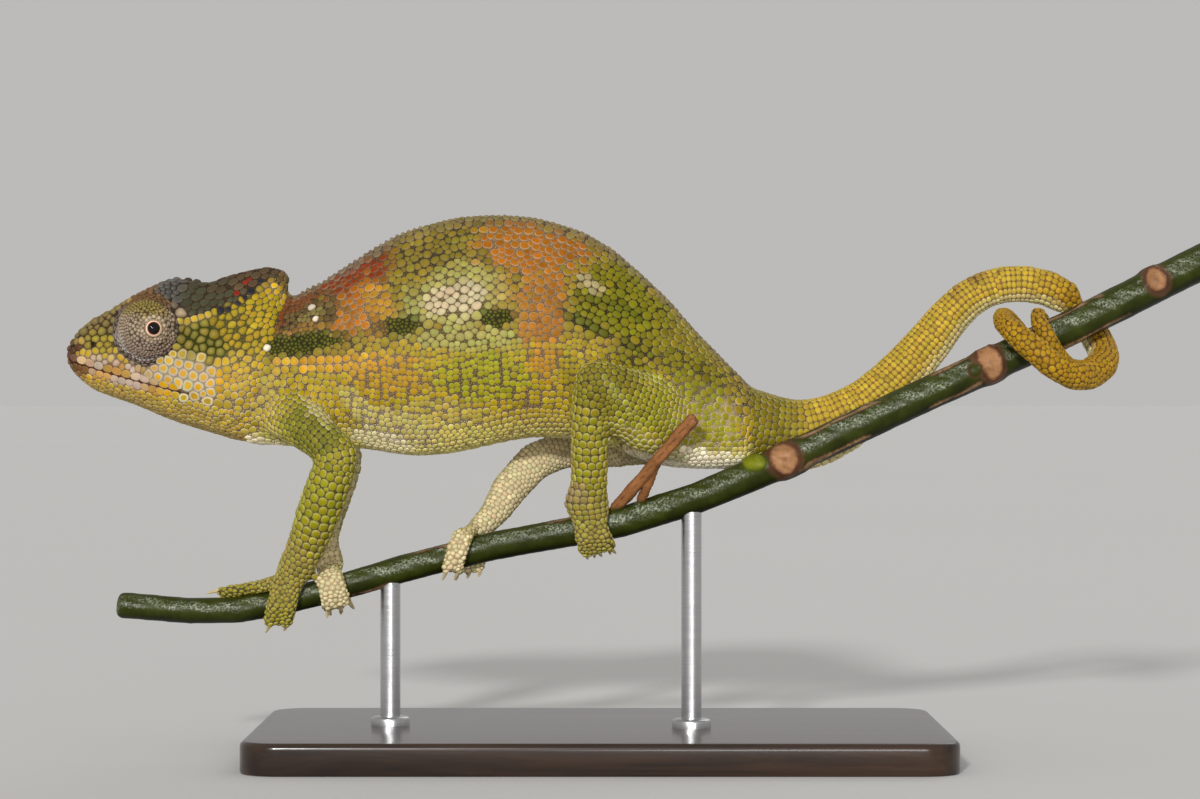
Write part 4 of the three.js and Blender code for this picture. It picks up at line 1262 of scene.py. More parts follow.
def lay_turret(points, normals):
    """The colours of an eye turret, with a painted highlight in a crescent low on its front."""
    colours = all_over("turret", points)
    lay(colours, "turret_top", smoothstep(0.25, 0.75, normals[:, 2]))
    lay(colours, "turret_low", smoothstep(0.1, 0.7, -normals[:, 2]))
    lay_folds(colours, points)
    for side, eye in EYES.items():
        step = points - eye
        out = step @ gaze_of(side)
        ring = np.linalg.norm(step - out[:, None] * gaze_of(side), axis=1)
        lay(colours, "lid_edge", (1 - smoothstep(1.5, 2.5, ring)) * (out > 0))
        # Painted highlight: a pale crescent on the wet fold low on the front of each turret.
        low = smoothstep(0.5, -1.5, step[:, 2]) * smoothstep(2.0, -1.0, step[:, 0])
        crescent = 1 - smoothstep(0.16, 0.3, abs(ring - 4.55 + 0.1 * step[:, 2]))
        lay(colours, "painted_highlight", 0.6 * crescent * low * (side * points[:, 1] > 0))
    return colours


def colours_at(points, normals, region, seed):
    """The middle, rim and groove colours of the coat at each point."""
    made = np.random.default_rng(seed)
    colours = np.zeros((len(points), 3, 3))
    ragged = 0.16 * ripple(points, 3) + made.normal(0, 0.12, len(points))
    body = np.isin(region, NECK_TRUNK)
    colours[body] = lay_body(points[body], ragged[body])
    for leg in LEG_NAMES:
        own = np.isin(region, (REGION[leg], REGION[leg + "_toes"]))
        under = lay_body(points[own], ragged[own])
        colours[own] = lay_leg(under, leg, points[own], normals[own], ragged[own])
    own = region == REGION["tail"]
    colours[own] = lay_tail(points[own], normals[own])
    own = region == REGION["head"]
    colours[own] = lay_head(points[own], normals[own], ragged[own])
    own = region == REGION["turret"]
    colours[own] = lay_turret(points[own], normals[own])
    return colours


# ---------------------------------------------------------------- materials


def material(title, roughness, specular=0.2):
    """A new material, its nodes and its surface."""
    made = bpy.data.materials.new(title)
    made.use_nodes = True
    surface = made.node_tree.nodes["Principled BSDF"]
    surface.inputs["Roughness"].default_value = roughness
    surface.inputs["Specular IOR Level"].default_value = specular
    return made, made.node_tree, surface


def node(tree, kind, **settings):
    """Adds a node, whose settings are sockets or, where it has none so named, its own."""
    made = tree.nodes.new("ShaderNode" + kind)
    for name, value in settings.items():
        if name in made.inputs:
            made.inputs[name].default_value = value
        else:
            setattr(made, name, value)
    return made


def map_range(tree, start, end, low, high):
    """Carries values from start to end onto those from low to high."""
    return node(tree, "MapRange",
                **{"From Min": start, "From Max": end, "To Min": low, "To Max": high})


def two_tones(tree, first, last, start=0, end=1):
    """Carries values from start to end onto colours from the first to the last."""
    ramp = node(tree, "ValToRGB")
    for stop, place, colour in zip(ramp.color_ramp.elements, (start, end), (first, last)):
        stop.position = place
        stop.color = (*colour, 1)
    return ramp


def wire(tree, *runs):
    """Links nodes. Each run names a node and its output, and then a node and its input."""
    for giver, output, taker, socket in runs:
        tree.links.new(giver.outputs[output], taker.inputs[socket])


def marked_material(title, rough_low, rough_high, grain, bump, shade=(0.86, 1.1)):
    """A surface that takes its colour from the marking and its mottle and bump from noise."""
    made, tree, surface = material(title, rough_low, 0.12)
    place = node(tree, "TexCoord")
    marking = node(tree, "Attribute", attribute_name="marking")
    mottle = node(tree, "TexNoise", Scale=grain, Detail=3.0, Roughness=0.6)
    span = map_range(tree, 0.3, 0.7, *shade)
    tint = node(tree, "VectorMath", operation="SCALE")
    rough = map_range(tree, 0, 1, rough_low, rough_high)
    fine = node(tree, "TexNoise", Scale=grain * 4, Detail=2.0)
    relief = node(tree, "Bump", Strength=bump, Distance=0.0001)
    wire(
        tree,
        (place, "Object", mottle, "Vector"),
        (place, "Object", fine, "Vector"),
        (mottle, "Fac", span, "Value"),
        (marking, "Color", tint, 0),
        (span, "Result", tint, "Scale"),
        (tint, "Vector", surface, "Base Color"),
        (mottle, "Fac", rough, "Value"),
        (rough, "Result", surface, "Roughness"),
        (fine, "Fac", relief, "Height"),
        (relief, "Normal", surface, "Normal"),
    )
    return made


def dress(piece, made):
    """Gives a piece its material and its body."""
    piece.data.materials.clear()
    piece.data.materials.append(made)
    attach(piece, "root")


# ---------------------------------------------------------------- scales

NEIGHBOURS = 18  # how many scales round each one may bound it
LEAST_REACH = 0.07  # no scale reaches less far than this
CORNERS = 6  # how square the widest a scale may reach is: 2 is a circle


class Coat:
    """The roots as arrays, with the two axes of each scale in the plane of the skin."""

    def __init__(self, rows):
        columns = [np.array(column) for column in zip(*rows)]
        self.place, normal, lie, self.size, self.stretch, self.kind, self.face = columns
        self.normal = unit(normal)
        lie = lie + 0.001 * np.array([0.3, 0.1, 1])
        lie -= self.normal * (lie * self.normal).sum(1)[:, None]
        self.lie = unit(lie)
        self.across = np.cross(self.normal, self.lie)
        self.region = face_region[self.face]
        tree = tree_of(self.place)
        self.beside = np.array(
            [[j for _, j, _ in tree.find_n(p, NEIGHBOURS + 1)][1:] for p in self.place]
        )

    def reach(self, chosen, sides, groove, widest):
        """How far each chosen scale reaches in each direction, and how the skin falls away there.

        Lengths along the lie of a scale are divided by its stretch, so its cell is stretched too.
        """
        p, n = self.place[chosen], self.normal[chosen]
        others = self.beside[chosen]
        step = self.place[others] - p[:, None]
        far = np.linalg.norm(step, axis=2)
        rise = (step * n[:, None]).sum(2)
        flat = step - rise[..., None] * n[:, None]
        long = self.stretch[chosen][:, None]
        u = (flat * self.lie[chosen][:, None]).sum(2) / long
        v = (flat * self.across[chosen][:, None]).sum(2)
        bearing = np.arctan2(v, u)
        own = self.size[chosen][:, None]
        half = np.hypot(u, v) * own / (own + self.size[others]) - groove / 2
        facing = (self.normal[others] * n[:, None]).sum(2) > -0.2
        turns = 2 * np.pi * (np.arange(sides) + 0.5) / sides
        toward = np.cos(turns[None, None] - bearing[..., None])
        limit = np.where(
            (toward > 0.08) & facing[..., None], half[..., None] / np.maximum(toward, 0.08), 99
        )
        nearest = limit.argmin(axis=1)
        reach = limit.min(axis=1)
        cap = widest * own * (np.cos(turns) ** CORNERS + np.sin(turns) ** CORNERS) ** (-1 / CORNERS)
        reach = np.minimum(reach, cap)
        eased = 0.7 * reach + 0.15 * (np.roll(reach, 1, 1) + np.roll(reach, -1, 1))
        reach = np.maximum(np.minimum(eased, reach * 1.04), LEAST_REACH)
        bend = np.take_along_axis(rise / np.maximum(far, 0.1) ** 2, nearest, axis=1)
        drawn = reach * np.hypot(long * np.cos(turns), np.sin(turns))
        fall = np.clip(bend * drawn**2, -0.5 * reach, 0.25 * reach)
        return turns, reach, fall


BAKE_PATCH = 0.003  # how wide a scale is on the unwrap of the skin
FOOT = (0.95, 2.0)  # how far out the sunk foot of a scale lies, and its hue


def shade_of(hues, step):
    """The colour a step along from the middle of a scale, 0, by its rim, 1, to its groove, 2."""
    before, part = (0, step) if step <= 1 else (1, step - 1)
    return hues[:, before] + part * (hues[:, before + 1] - hues[:, before])


def scale_block(coat, chosen, kind):
    """Vertices, colours and bake places of all chosen scales of one kind."""
    height, sides, groove, widest, rings = KINDS[kind]
    turns, reach, fall = coat.reach(chosen, sides, groove, widest)
    count = len(chosen)
    p, n = coat.place[chosen], coat.normal[chosen]
    spokes = (
        np.cos(turns)[None, :, None] * (coat.lie * coat.stretch[:, None])[chosen][:, None]
        + np.sin(turns)[None, :, None] * coat.across[chosen][:, None]
    )
    tall = height * reach.mean(1) * random.uniform(0.85, 1.15, count)
    sunk = -(0.16 + 0.12 * reach.mean(1))
    hues = coat.colours[chosen]
    circle = np.stack([np.cos(turns), np.sin(turns)], 1) * BAKE_PATCH / 2
    root = face_place[coat.face[chosen]][:, None]
    points = [(p + n * tall[:, None])[:, None]]
    shades = [shade_of(hues, rings[0][2])[:, None] * 1.05]
    places = [root]
    rings = [(share, lift * tall, hue) for share, lift, hue in rings]
    for share, lift, hue in rings + [(FOOT[0], sunk, FOOT[1])]:
        out = p[:, None] + spokes * (reach * share)[..., None]
        points.append(out + n[:, None] * (lift[:, None] + fall * share**2)[..., None])
        shades.append(shade_of(hues, hue)[:, None].repeat(sides, 1))
        places.append(root + circle * share)
    return [np.concatenate(made, axis=1) for made in (points, shades, places)]


def scale_faces(sides, rings):
    """The faces of one scale: a fan, a band below each ring and a closed foot."""
    faces = []
    for k in range(sides):
        after = (k + 1) % sides
        faces.append((0, 1 + k, 1 + after))
        for r in range(rings):
            a, b = 1 + r * sides, 1 + (r + 1) * sides
            faces.append((a + k, b + k, b + after, a + after))
    faces.append(tuple(1 + rings * sides + k for k in reversed(range(sides))))
    return faces


def coat_piece(title, coat, members):
    """All scales of the member roots as one joined mesh."""
    points, shades, places, loops, sizes = [], [], [], [], []
    start = 0
    for kind, index in KIND.items():
        chosen = np.flatnonzero(members & (coat.kind == index))
        if not len(chosen) or kind == "gap":
            continue
        for kept, made in zip((points, shades, places), scale_block(coat, chosen, kind)):
            each = made.shape[1]
            kept.append(made.reshape(-1, made.shape[2]))
        faces = scale_faces(KINDS[kind][1], len(KINDS[kind][4]))
        one = np.array([i for face in faces for i in face])
        loops.append((one + start + each * np.arange(len(chosen))[:, None]).ravel())
        sizes.append(np.tile([len(face) for face in faces], len(chosen)))
        start += each * len(chosen)
    points, shades, places, loops, sizes = map(
        np.concatenate, (points, shades, places, loops, sizes)
    )
    mesh = bpy.data.meshes.new(title)
    mesh.vertices.add(len(points))
    mesh.vertices.foreach_set("co", (points * MM).astype(np.float32).ravel())
    mesh.loops.add(len(loops))
    mesh.loops.foreach_set("vertex_index", loops.astype(np.int32))
    mesh.polygons.add(len(sizes))
    starts = np.concatenate([[0], np.cumsum(sizes)[:-1]]).astype(np.int32)
    mesh.polygons.foreach_set("loop_start", starts)
    mesh.update(calc_edges=True)
    layer = mesh.uv_layers.new(name="OFBake")
    layer.uv.foreach_set("vector", places[loops].astype(np.float32).ravel())
    piece = bpy.data.objects.new(title, mesh)
    bpy.context.scene.collection.objects.link(piece)
    paint_points(piece, shades)
    smooth_shaded(piece)
    return piece


coat = Coat(roots.rows)
coat.colours = colours_at(coat.place, coat.normal, coat.region, 21)
grains = coat.kind == KIND["grain"]
coat.colours[grains] = np.sqrt(coat.colours[grains, 1:2] * coat.colours[grains, 2:])
coat.colours *= np.exp(random.normal(0, 0.1, (len(coat.place), 1, 1)))
warmth = np.exp(random.normal(0, 0.02, (len(coat.place), 1)))
coat.colours[:, :, 0] *= warmth
coat.colours[:, :, 1] /= warmth

SCALE = marked_material("scale horn", 0.3, 0.55, 900, 0.25)
SKIN = marked_material("skin between scales", 0.6, 0.8, 1500, 0.4, (0.75, 1.05))

left = coat.place[:, 1] < 0
back = coat.place[:, 2] > 66
coil = coat.place[:, 0] > 62
everywhere = np.ones(len(left), bool)
for title, regions, chosen, slot in (
    ("head_scales", ["head"], everywhere, "head_skin"),
    ("eyelid_scales", ["turret"], everywhere, "eyelid_skin"),
    ("neck_scales", ["neck"], everywhere, "trunk_skin"),
    ("back_scales_left", ["trunk"], left & back, "trunk_skin"),
    ("back_scales_right", ["trunk"], ~left & back, "trunk_skin"),
    ("flank_scales_left", ["trunk"], left & ~back, "trunk_skin"),
    ("flank_scales_right", ["trunk"], ~left & ~back, "trunk_skin"),
    ("tail_scales", ["tail"], ~coil, "tail_skin"),
    ("coil_scales", ["tail"], coil, "tail_skin"),
    *[(f"{leg}_scales", [leg, leg + "_toes"], everywhere, "leg_skin") for leg in LEG_NAMES],
):
    members = np.isin(coat.region, [REGION[name] for name in regions]) & chosen
    dress(coat_piece(title, coat, members), SCALE)

paint_points(skin, colours_at(skin_points, skin_normals, skin_region, 5)[:, 2])
dress(skin, SKIN)
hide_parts(*FLESH)

# ---------------------------------------------------------------- eyes

BALL = 2.0  # radius of an eyeball
BALL_BROWN = (46, 30, 20)
CORNEA = (0.16, 0.2, 1.25)  # how high the cornea rises, and between which distances it falls off
# The rings round the pupil, from the outside in, and last the pupil: colour and outer radius.
IRIS_RINGS = [((150, 90, 62), 1.4), ((255, 228, 198), 1.22), ((170, 84, 48), 1.04),
              ((40, 16, 10), 0.99), ((4, 3, 4), 0.95)]
# The rim of the lids: how far out it lies, its radius and its thickness.
RIM_OUT, RIM_RADIUS, RIM_THICK = 1.62, 1.33, 0.1
RIM_BEIGE = (172, 148, 120)


def eyeballs():
    """Each ball shows a black pupil in a thin gold ring, between the fused lids."""
    for name, side in SIDES.items():
        eye, gaze = EYES[side], gaze_of(side)
        bpy.ops.mesh.primitive_uv_sphere_add(
            segments=64,
            ring_count=48,
            radius=BALL * MM,
            location=tuple(eye * MM),
            rotation=Vector(gaze).to_track_quat("Z", "Y").to_euler(),
        )
        ball = bpy.context.active_object
        ball.name = f"eyeball_{name}_glossy"
        bpy.ops.object.transform_apply()
        points = points_of(ball)
        out = (points - eye) @ gaze
        away = np.linalg.norm(points - eye - out[:, None] * gaze, axis=1)
        away = np.where(out > 0, away, 9)
        height, top, foot = CORNEA
        points += (height * (1 - smoothstep(top, foot, away)))[:, None] * gaze
        move_points(ball, points)
        tone = linear(BALL_BROWN)[None].repeat(len(away), 0)
        for colour, edge in IRIS_RINGS:
            share = 1 - smoothstep(edge - 0.03, edge + 0.03, away)[:, None]
            tone = tone + share * (linear(colour) - tone)
        paint_points(ball, tone)
        smooth_shaded(ball)
        wet = marked_material(f"wet eye {name}", 0.03, 0.06, 900, 0.0, (0.95, 1.05))
        wet.node_tree.nodes["Principled BSDF"].inputs["Specular IOR Level"].default_value = 0.35
        dress(ball, wet)
        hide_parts(f"eyeball_{name}")


def lid_rims():
    """The pale naked edge of the lids round each pupil."""
    for name, side in SIDES.items():
        gaze = gaze_of(side)
        rim = ring_at(EYES[side] + gaze * RIM_OUT, gaze, RIM_RADIUS, RIM_THICK)
        rim.name = f"lid_rim_{name}"
        paint_points(rim, linear(RIM_BEIGE)[None].repeat(len(rim.data.vertices), 0))
        smooth_shaded(rim)
        dress(rim, SKIN)


# ---------------------------------------------------------------- claws

CLAW_ROOT = 1.4  # how many times longer a claw is made, so that its root lies inside the toe
CLAW_BACK = 0.6  # how far it is set back, as the skin of the toe is
CLAW_FATTER = 0.2  # the share by which it is made wider
CLAW_HORN = (196, 178, 134)


def claws():
    """The five claws of each foot, rounded from their solids and rooted in the toes."""
    horn = marked_material("claw horn", 0.25, 0.4, 1200, 0.1)
    for leg in LEG_NAMES:
        names = [name for name in frame["nodes"] if name.startswith(f"{leg}_claw_")]
        rooted = []
        for name in names:
            claw = copy_of([name], name + "_rooted")
            points = points_of(claw)
            tip = points[np.argmax(np.linalg.norm(points - centre_of(f"{leg}_foot"), axis=1))]
            way = unit(points.mean(0) - tip)
            back = (points - tip) @ way
            points += np.outer(back * (CLAW_ROOT - 1) + CLAW_BACK, way)
            points += (points - tip - np.outer((points - tip) @ way, way)) * CLAW_FATTER
            move_points(claw, points)
            rooted.append(claw)
        select_only(*rooted)
        bpy.ops.object.join()
        piece = bpy.context.active_object
        piece.name = f"{leg}_claws"
        finish_with(piece, "SUBSURF", levels=2, render_levels=2)
        grain = 1 + 0.12 * ripple(points_of(piece) * 3, 77)
        paint_points(piece, linear(CLAW_HORN)[None] * grain[:, None])
        smooth_shaded(piece)
        dress(piece, horn)
        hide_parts(*names)


# ---------------------------------------------------------------- the stem

BARK_GRAIN = 0.3  # size of the squares of the remeshed stem
BARK_OUT = 0.32  # how far the bark is set out again once it has been softened
STEM_SLANT = math.radians(24)
STEM_CUTS = (-79, 100)  # past these, along X, lie the cut faces of its ends

# Leaf scars on the side towards -Y: middle (x, z), half width and half height.
SCARS = [(29, 47.7, 2.1, 2.35), (61.4, 63, 1.7, 2.8), (88, 76, 1.5, 1.8)]
# A knob and a bud, measured the same way.
NUB = (59, 61.6, 1.1, 1.1)
BUD = (24.3, 47.1, 1.9, 1.35)
# The middle lines of the dry stalk and of its fork, from the stem outward.
STALK = [(1.6, -3.1, 38.6), (8.4, -8.4, 46.8), (14.6, -12.4, 54)]
STALK_FORK = [(5.6, -3.6, 38.6), (9, -8.4, 47.2)]

# Strips of peeling bark: from x to x, and the tilt above the side towards -Y, in degrees.
PEELS = [(31, 45, 58, 10), (-30, -20, 60, 9), (-8, 1, 64, 8), (31.5, 44, -50, 11),
         (52, 60.4, -42, 13), (53, 60, 66, 9), (66, 80, 62, 8), (70, 84, -56, 9),
         (-44, -34, -48, 9)]

BARK_HUES = {
    "green": (48, 54, 10),
    # dark is the green laid as painted shade on the lower and far sides of the stem.
    "dark": (22, 27, 8),
    "peel": (148, 118, 84),
    "peel_edge": (58, 40, 26),
    "brown": (84, 58, 38),
    "scar": (158, 114, 76),
    "scar_core": (110, 70, 44),
    "scar_rim": (84, 52, 34),
    "bud": (112, 116, 20),
    "bud_foot": (58, 66, 18),
    "stalk": (142, 94, 56),
    "stalk_fibre": (82, 46, 28),
}


def bark():
    """Green bark with glittering pale specks, waxy coat and painted highlight at once, where the
    stem is marked for them.
    """
    made = marked_material("stem bark", 0.3, 0.52, 420, 0.45, (0.72, 1.25))
    tree = made.node_tree
    surface = tree.nodes["Principled BSDF"]
    plain = surface.inputs["Base Color"].links[0].from_node
    place = node(tree, "TexCoord")
    bloom_and_highlight = node(tree, "Attribute", attribute_name="bloom_and_highlight")
    speck = node(tree, "TexNoise", Scale=3200, Detail=3.0, Roughness=0.7)
    crisp = map_range(tree, 0.44, 0.66, 0, 1)
    share = node(tree, "Math", operation="MULTIPLY")
    mix = node(tree, "Mix", data_type="RGBA")
    # The pale of the specks: a waxy coat and a painted highlight at once.
    mix.inputs["B"].default_value = (0.4, 0.43, 0.33, 1)
    wire(
        tree,
        (place, "Object", speck, "Vector"),
        (speck, "Fac", crisp, "Value"),
        (crisp, "Result", share, 0),
        (bloom_and_highlight, "Fac", share, 1),
        (share, "Value", mix, "Factor"),
        (plain, "Vector", mix, "A"),
        (mix, "Result", surface, "Base Color"),
    )
    return made


def about_line(points, line):
    """For each point: how far along a line of two or more places, how far off it and which way."""
    fine = evenly(np.array(line, float), 0.2)
    tree = tree_of(fine)
    _, at, away = zip(*[tree.find(p) for p in points])
    at = np.array(at, int)
    way = unit(fine[-1] - fine[0])
    side = unit(np.cross(way, [0, 0, 1]))
    step = points - fine[at]
    turn = np.arctan2(step @ np.cross(way, side), step @ side)
    return at * 0.2, np.array(away), turn


class Bark:
    """The stem's points with the colours, the pale specks of waxy coat and painted highlight, and
    the relief laid on them.
    """

    def __init__(self, points, normals):
        self.points, self.normals = points, normals
        self.rough = ripple(points * [0.8, 2, 2], 31)
        self.fine = ripple(points * [1.6, 5, 5], 12)
        self.hues = {name: linear(colour) for name, colour in BARK_HUES.items()}
        self.tone = self.hues["green"][None].repeat(len(points), 0)
        self.lift = 0.035 * self.rough + 0.02 * self.fine
        ahead = np.array([math.cos(STEM_SLANT), 0, math.sin(STEM_SLANT)])
        self.ending = normals @ ahead
        square = normals - np.outer(self.ending, ahead)
        self.tilt = np.degrees(np.arctan2(square[:, 2], -square[:, 1]))
        # Pale specks in a band along the upper front side: a waxy coat there, and a painted
        # highlight too.
        self.bloom_and_highlight = smoothstep(34, 12, abs(self.tilt - 22 + 8 * self.rough))
        self.bloom_and_highlight *= 0.45 + 0.55 * self.fine

    def cover(self, name, weight):
        self.tone += np.clip(weight, 0, 1)[:, None] * (self.hues[name] - self.tone)

    def peel(self, start, end, middle, half):
        """A strip where the bark has split and dried to paper."""
        x = self.points[:, 0]
        ends = smoothstep(start - 1, start + 1, x + self.fine)
        ends *= 1 - smoothstep(end - 2.5, end, x + 2 * self.fine)
        width = half * (0.75 + 0.5 * self.rough)
        off = abs(self.tilt - middle + 6 * ripple(self.points * 0.6, 5))
        inner = ends * (1 - smoothstep(width - 2, width + 1, off))
        self.cover("peel_edge", ends * (1 - smoothstep(width + 3, width + 7, off)))
        self.cover("peel", inner * (0.75 + 0.25 * self.fine))
        self.cover("peel_edge", inner * (self.fine > 0.5) * 0.6)
        self.lift += 0.12 * inner
        self.bloom_and_highlight *= 1 - ends * (off < width + 5)

    def scar(self, over, high, half_wide, half_high):
        """A round leaf scar with a raised dark rim and a mealy face."""
        u, v = self.points[:, 0] - over, self.points[:, 2] - high
        across = (u * math.cos(STEM_SLANT) + v * math.sin(STEM_SLANT)) / half_wide
        up = (v * math.cos(STEM_SLANT) - u * math.sin(STEM_SLANT)) / half_high
        turn = np.arctan2(up, across)
        away = np.hypot(across, up) + 0.05 * self.fine + 0.05 * np.sin(3 * turn + over)
        facing = smoothstep(-0.1, -0.4, self.normals[:, 1])
        stained = 1 - smoothstep(1.3, 1.75, away + 0.2 * self.rough)
        self.cover("brown", stained * (0.5 + 0.5 * facing))
        self.cover("scar_rim", (1 - smoothstep(1.1, 1.2, away)) * facing)
        mealy = 0.84 + 0.16 * ripple(self.points * 6, 9)
        self.cover("scar", (1 - smoothstep(0.86, 0.98, away)) * facing * mealy)
        self.cover("scar_core", (1 - smoothstep(0.0, 0.3, away)) * facing * 0.5)
        self.lift += facing * 0.32 * (1 - smoothstep(0.0, 0.22, abs(away - 1.04)))
        self.lift -= facing * 0.2 * (1 - smoothstep(0.5, 0.92, away))
        self.lift += facing * 0.08 * self.fine * (away < 0.9)
        self.bloom_and_highlight *= smoothstep(1.3, 1.8, away)

    def swell(self, knob, hue, foot, height):
        """A rounded bud or knob on the side towards -Y."""
        over, high, half_wide, half_high = knob
        x, y, z = self.points.T
        front = y < -2
        away = np.hypot((x - over) / half_wide, (z - high) / half_high)
        self.cover(foot, front * (1 - smoothstep(1.05, 1.35, away)))
        self.cover(hue, front * (1 - smoothstep(0.8, 1.05, away)) * (0.85 + 0.15 * self.fine))
        self.lift += front * height * np.sqrt(np.clip(1 - away**2, 0, 1))
        self.bloom_and_highlight *= smoothstep(1.0, 1.4, away)


def stem():
    """The cut stem with its scars, bud and peeling bark, and the dry stalk that grows from it."""
    piece = copy_of(["perch"], "stem")
    finish_with(piece, "REMESH", mode="VOXEL", voxel_size=BARK_GRAIN * MM)
    points, edges = points_of(piece), edges_of(piece)
    x, y, z = points.T
    along, away, turn = about_line(points, STALK)
    _, fork_away, fork_turn = about_line(points, STALK_FORK)
    clear = y < -3.9
    stalk = (1 - smoothstep(1.25, 1.5, away)) * clear
    fork = (1 - smoothstep(0.85, 1.05, fork_away)) * clear
    dry = np.maximum(stalk, fork) * smoothstep(39.6, 40.4, z - 0.3 * (x - 3))
    points = relax(points, edges, 0.5 - 0.46 * dry, 22)
    move_points(piece, points)
    normals = normals_of(piece)
    points += normals * (BARK_OUT - 0.04 * dry)[:, None]
    rind = Bark(points, normals)
    # Painted shade: the bark darkens towards its lower side, and by a fixed share on its far side
    # towards +Y.
    shaded = smoothstep(0, -70, rind.tilt + 14 * rind.rough) * (abs(rind.tilt) < 100)
    rind.cover("dark", shaded + (abs(rind.tilt) > 100) * 0.6)
    for strip in PEELS:
        rind.peel(*strip)
    for scar in SCARS:
        rind.scar(*scar)
    rind.swell(NUB, "green", "brown", 0.35)
    rind.swell(BUD, "bud", "bud_foot", 0.6)
    turn = np.where(fork > stalk, fork_turn, turn)
    fibres = np.sin(6 * turn + 0.5 * np.sin(0.6 * along)) + 0.6 * np.sin(11 * turn + 0.25 * along)
    rind.cover("stalk", dry)
    rind.cover("stalk_fibre", dry * smoothstep(0.4, 1.3, fibres) * 0.75)
    lift = rind.lift * (1 - dry) + dry * (0.06 * fibres + 0.1 * ripple(points * 1.4, 4))
    cut = smoothstep(0.75, 0.92, abs(rind.ending))
    cut *= ((points[:, 0] > STEM_CUTS[1]) | (points[:, 0] < STEM_CUTS[0])) * (1 - dry)
    rind.cover("peel", cut)
    bloom_and_highlight = np.clip(rind.bloom_and_highlight * (1 - dry) * (1 - cut), 0, 1)
    paint_points(piece, rind.tone)
    paint_points(piece, bloom_and_highlight[:, None].repeat(3, 1), "bloom_and_highlight")
    move_points(piece, points + normals * lift[:, None])
    smooth_shaded(piece)
    dress(piece, bark())
    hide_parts("perch")


# ---------------------------------------------------------------- the stand


def lacquered_wood():
    """Dark wood with a long grain under a thin coat of lacquer."""
    made, tree, surface = material("lacquered dark wood", 0.28)
    place = node(tree, "TexCoord")
    turn = node(tree, "Mapping", Scale=(14, 160, 160))
    grain = node(tree, "TexNoise", Scale=1.6, Detail=8.0, Roughness=0.65, Distortion=0.6)
    tone = two_tones(tree, (0.012, 0.007, 0.005), (0.05, 0.026, 0.015), 0.35, 0.68)
    relief = node(tree, "Bump", Strength=0.15, Distance=0.0002)
    wire(
        tree,
        (place, "Object", turn, "Vector"),
        (turn, "Vector", grain, "Vector"),
        (grain, "Fac", tone, "Fac"),
        (tone, "Color", surface, "Base Color"),
        (grain, "Fac", relief, "Height"),
        (relief, "Normal", surface, "Normal"),
    )
    surface.inputs["Coat Weight"].default_value = 0.4
    surface.inputs["Coat Roughness"].default_value = 0.12
    return made


def brushed_steel():
    """Steel with fine lines round the rod."""
    made, tree, surface = material("brushed steel", 0.3)
    surface.inputs["Metallic"].default_value = 1.0
    place = node(tree, "TexCoord")
    turn = node(tree, "Mapping", Scale=(300, 300, 6000))
    lines = node(tree, "TexNoise", Scale=1.0, Detail=3.0)
    tone = two_tones(tree, (0.42, 0.42, 0.43), (0.62, 0.62, 0.63))
    rough = map_range(tree, 0, 1, 0.22, 0.42)
    wire(
        tree,
        (place, "Object", turn, "Vector"),
        (turn, "Vector", lines, "Vector"),
        (lines, "Fac", tone, "Fac"),
        (tone, "Color", surface, "Base Color"),
        (lines, "Fac", rough, "Value"),
        (rough, "Result", surface, "Roughness"),
    )
    return made


def bevel_edges(piece, wanted, width, **settings):
    """Bevels the edges of a piece for which wanted(first, second) holds, in millimetres."""
    edit(piece, "EDGE")
    points = points_of(piece)
    for edge in piece.data.edges:
        edge.select = bool(wanted(*points[list(edge.vertices)]))
    bpy.ops.object.mode_set(mode="EDIT")
    bpy.ops.mesh.bevel(offset=width * MM, affect="EDGES", **settings)
    bpy.ops.object.mode_set(mode="OBJECT")


def creased_at_edges(piece):
    """Smooth shading on all but the sharp edges."""
    select_only(piece)
    bpy.ops.object.shade_smooth_by_angle(angle=math.radians(35))


def stand_base():
    """A flat block with rounded corners and a softly bevelled rim."""
    low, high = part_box("stand_base")
    bpy.ops.mesh.primitive_cube_add(size=1, location=(low + high) / 2, scale=high - low)
    piece = bpy.context.active_object
    piece.name = "stand_base_lacquered"
    bpy.ops.object.transform_apply()
    top = high.z / MM
    bevel_edges(piece, lambda p, q: abs(p[2] - q[2]) > 1, 6, segments=10)
    bevel_edges(piece, lambda p, q: min(p[2], q[2]) > top - 0.01, 1.1, segments=5, profile=0.6)
    bevel_edges(piece, lambda p, q: max(p[2], q[2]) < 0.01, 0.4, segments=2)
    creased_at_edges(piece)
    dress(piece, lacquered_wood())
    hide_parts("stand_base")


COLLAR_RADIUS, COLLAR_HEIGHT = 3.1, 1.4  # the collars at the feet of the rods


def upright(x, y, low, high, radius):
    """Adds a round bar that stands from low to high, and returns it."""
    bpy.ops.mesh.primitive_cylinder_add(
        vertices=48, radius=radius, depth=high - low, location=(x, y, (high + low) / 2)
    )
    bar = bpy.context.active_object
    bpy.ops.object.transform_apply()
    return bar


def stand_rods():
    """The rods that hold the stem, each with a collar where it is let into the base."""
    steel = brushed_steel()
    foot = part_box("stand_base")[1].z
    for name in ("stand_rod_1", "stand_rod_2"):
        low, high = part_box(name)
        x, y, _ = (low + high) / 2
        piece = upright(x, y, foot, high.z, (high.x - low.x) / 2)
        piece.name = name + "_brushed"
        collar = upright(x, y, foot, foot + COLLAR_HEIGHT * MM, COLLAR_RADIUS * MM)
        top = foot / MM + COLLAR_HEIGHT
        bevel_edges(collar, lambda p, q: min(p[2], q[2]) > top - 0.01, 0.45, segments=3)
        select_only(piece, collar)
        bpy.ops.object.join()
        creased_at_edges(piece)
        dress(piece, steel)
        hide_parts(name)


eyeballs()
lid_rims()
claws()
stem()
stand_base()
stand_rods()

# ---------------------------------------------------------------- floor, light and camera

SKY = 0.5  # strength of the light from the sky
LENS = 100  # focal length, in millimetres
VIEWPOINT = (0, -0.533, 0.057)  # where the camera stands, in metres
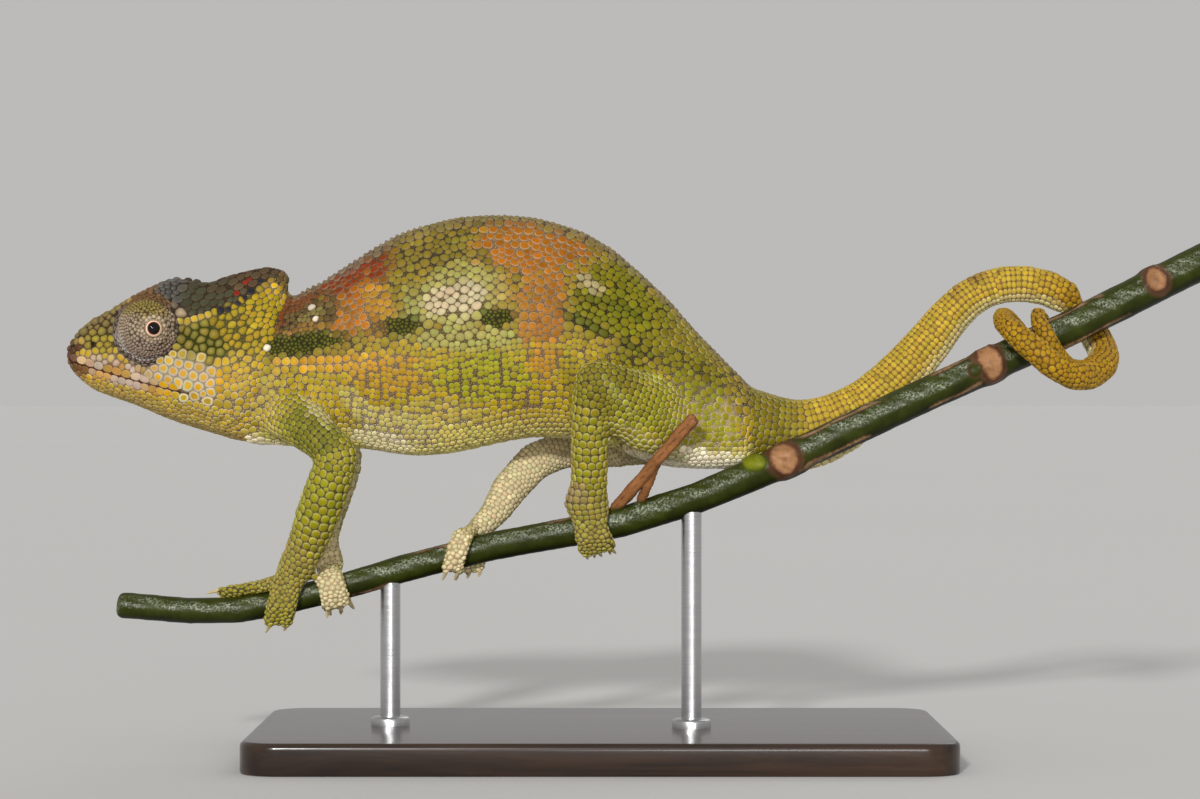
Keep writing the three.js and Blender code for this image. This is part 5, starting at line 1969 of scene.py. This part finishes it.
# The lamps: title, where the light comes from, strength and spread in degrees.
SUNS = [("key", (-0.22, -0.95, 0.34), 2.3, 5), ("low", (0.16, -1, 0.01), 1.1, 20),
        ("back", (0.4, 0.8, 0.7), 0.3, 30)]


def floor():
    """A plain floor, just so dark that under these lamps it is as bright as the sky behind it."""
    lit = sum(strength * unit(np.array(place))[2] / math.pi for _, place, strength, _ in SUNS)
    pale = SKY / (SKY + lit)
    bpy.ops.mesh.primitive_plane_add(size=60, location=(0, 0, 0))
    piece = bpy.context.active_object
    piece.name = "floor"
    made, tree, surface = material("pale floor", 0.9, 0.2)
    place = node(tree, "TexCoord")
    cloud = node(tree, "TexNoise", Scale=2.0)
    tone = two_tones(tree, (0.985 * pale, 0.975 * pale, 0.955 * pale),
                     (1.015 * pale, 1.005 * pale, 0.985 * pale))
    wire(
        tree,
        (place, "Object", cloud, "Vector"),
        (cloud, "Fac", tone, "Fac"),
        (tone, "Color", surface, "Base Color"),
    )
    piece.data.materials.append(made)


def soft_sun(title, place, strength, spread):
    """A lamp that shines from a place towards the middle."""
    data = bpy.data.lights.new(title, "SUN")
    data.energy = strength
    data.angle = math.radians(spread)
    lamp = bpy.data.objects.new(title, data)
    lamp.location = place
    lamp.rotation_euler = (-Vector(place)).to_track_quat("-Z", "Y").to_euler()
    bpy.context.scene.collection.objects.link(lamp)


def lights():
    """The lamps, and a pale sky that fills the shadows."""
    for lamp in SUNS:
        soft_sun(*lamp)
    world = bpy.data.worlds.new("studio")
    bpy.context.scene.world = world
    world.use_nodes = True
    sky = world.node_tree.nodes["Background"]
    sky.inputs["Color"].default_value = (1, 0.99, 0.97, 1)
    sky.inputs["Strength"].default_value = SKY


def camera():
    """A long lens, level with the animal, that looks at its left flank."""
    data = bpy.data.cameras.new("camera")
    data.lens = LENS
    data.sensor_width = 36
    eye = bpy.data.objects.new("camera", data)
    eye.location = VIEWPOINT
    eye.rotation_euler = (math.pi / 2, 0, 0)
    bpy.context.scene.collection.objects.link(eye)
    bpy.context.scene.camera = eye


floor()
lights()
camera()
bpy.context.scene.view_settings.view_transform = "Standard"
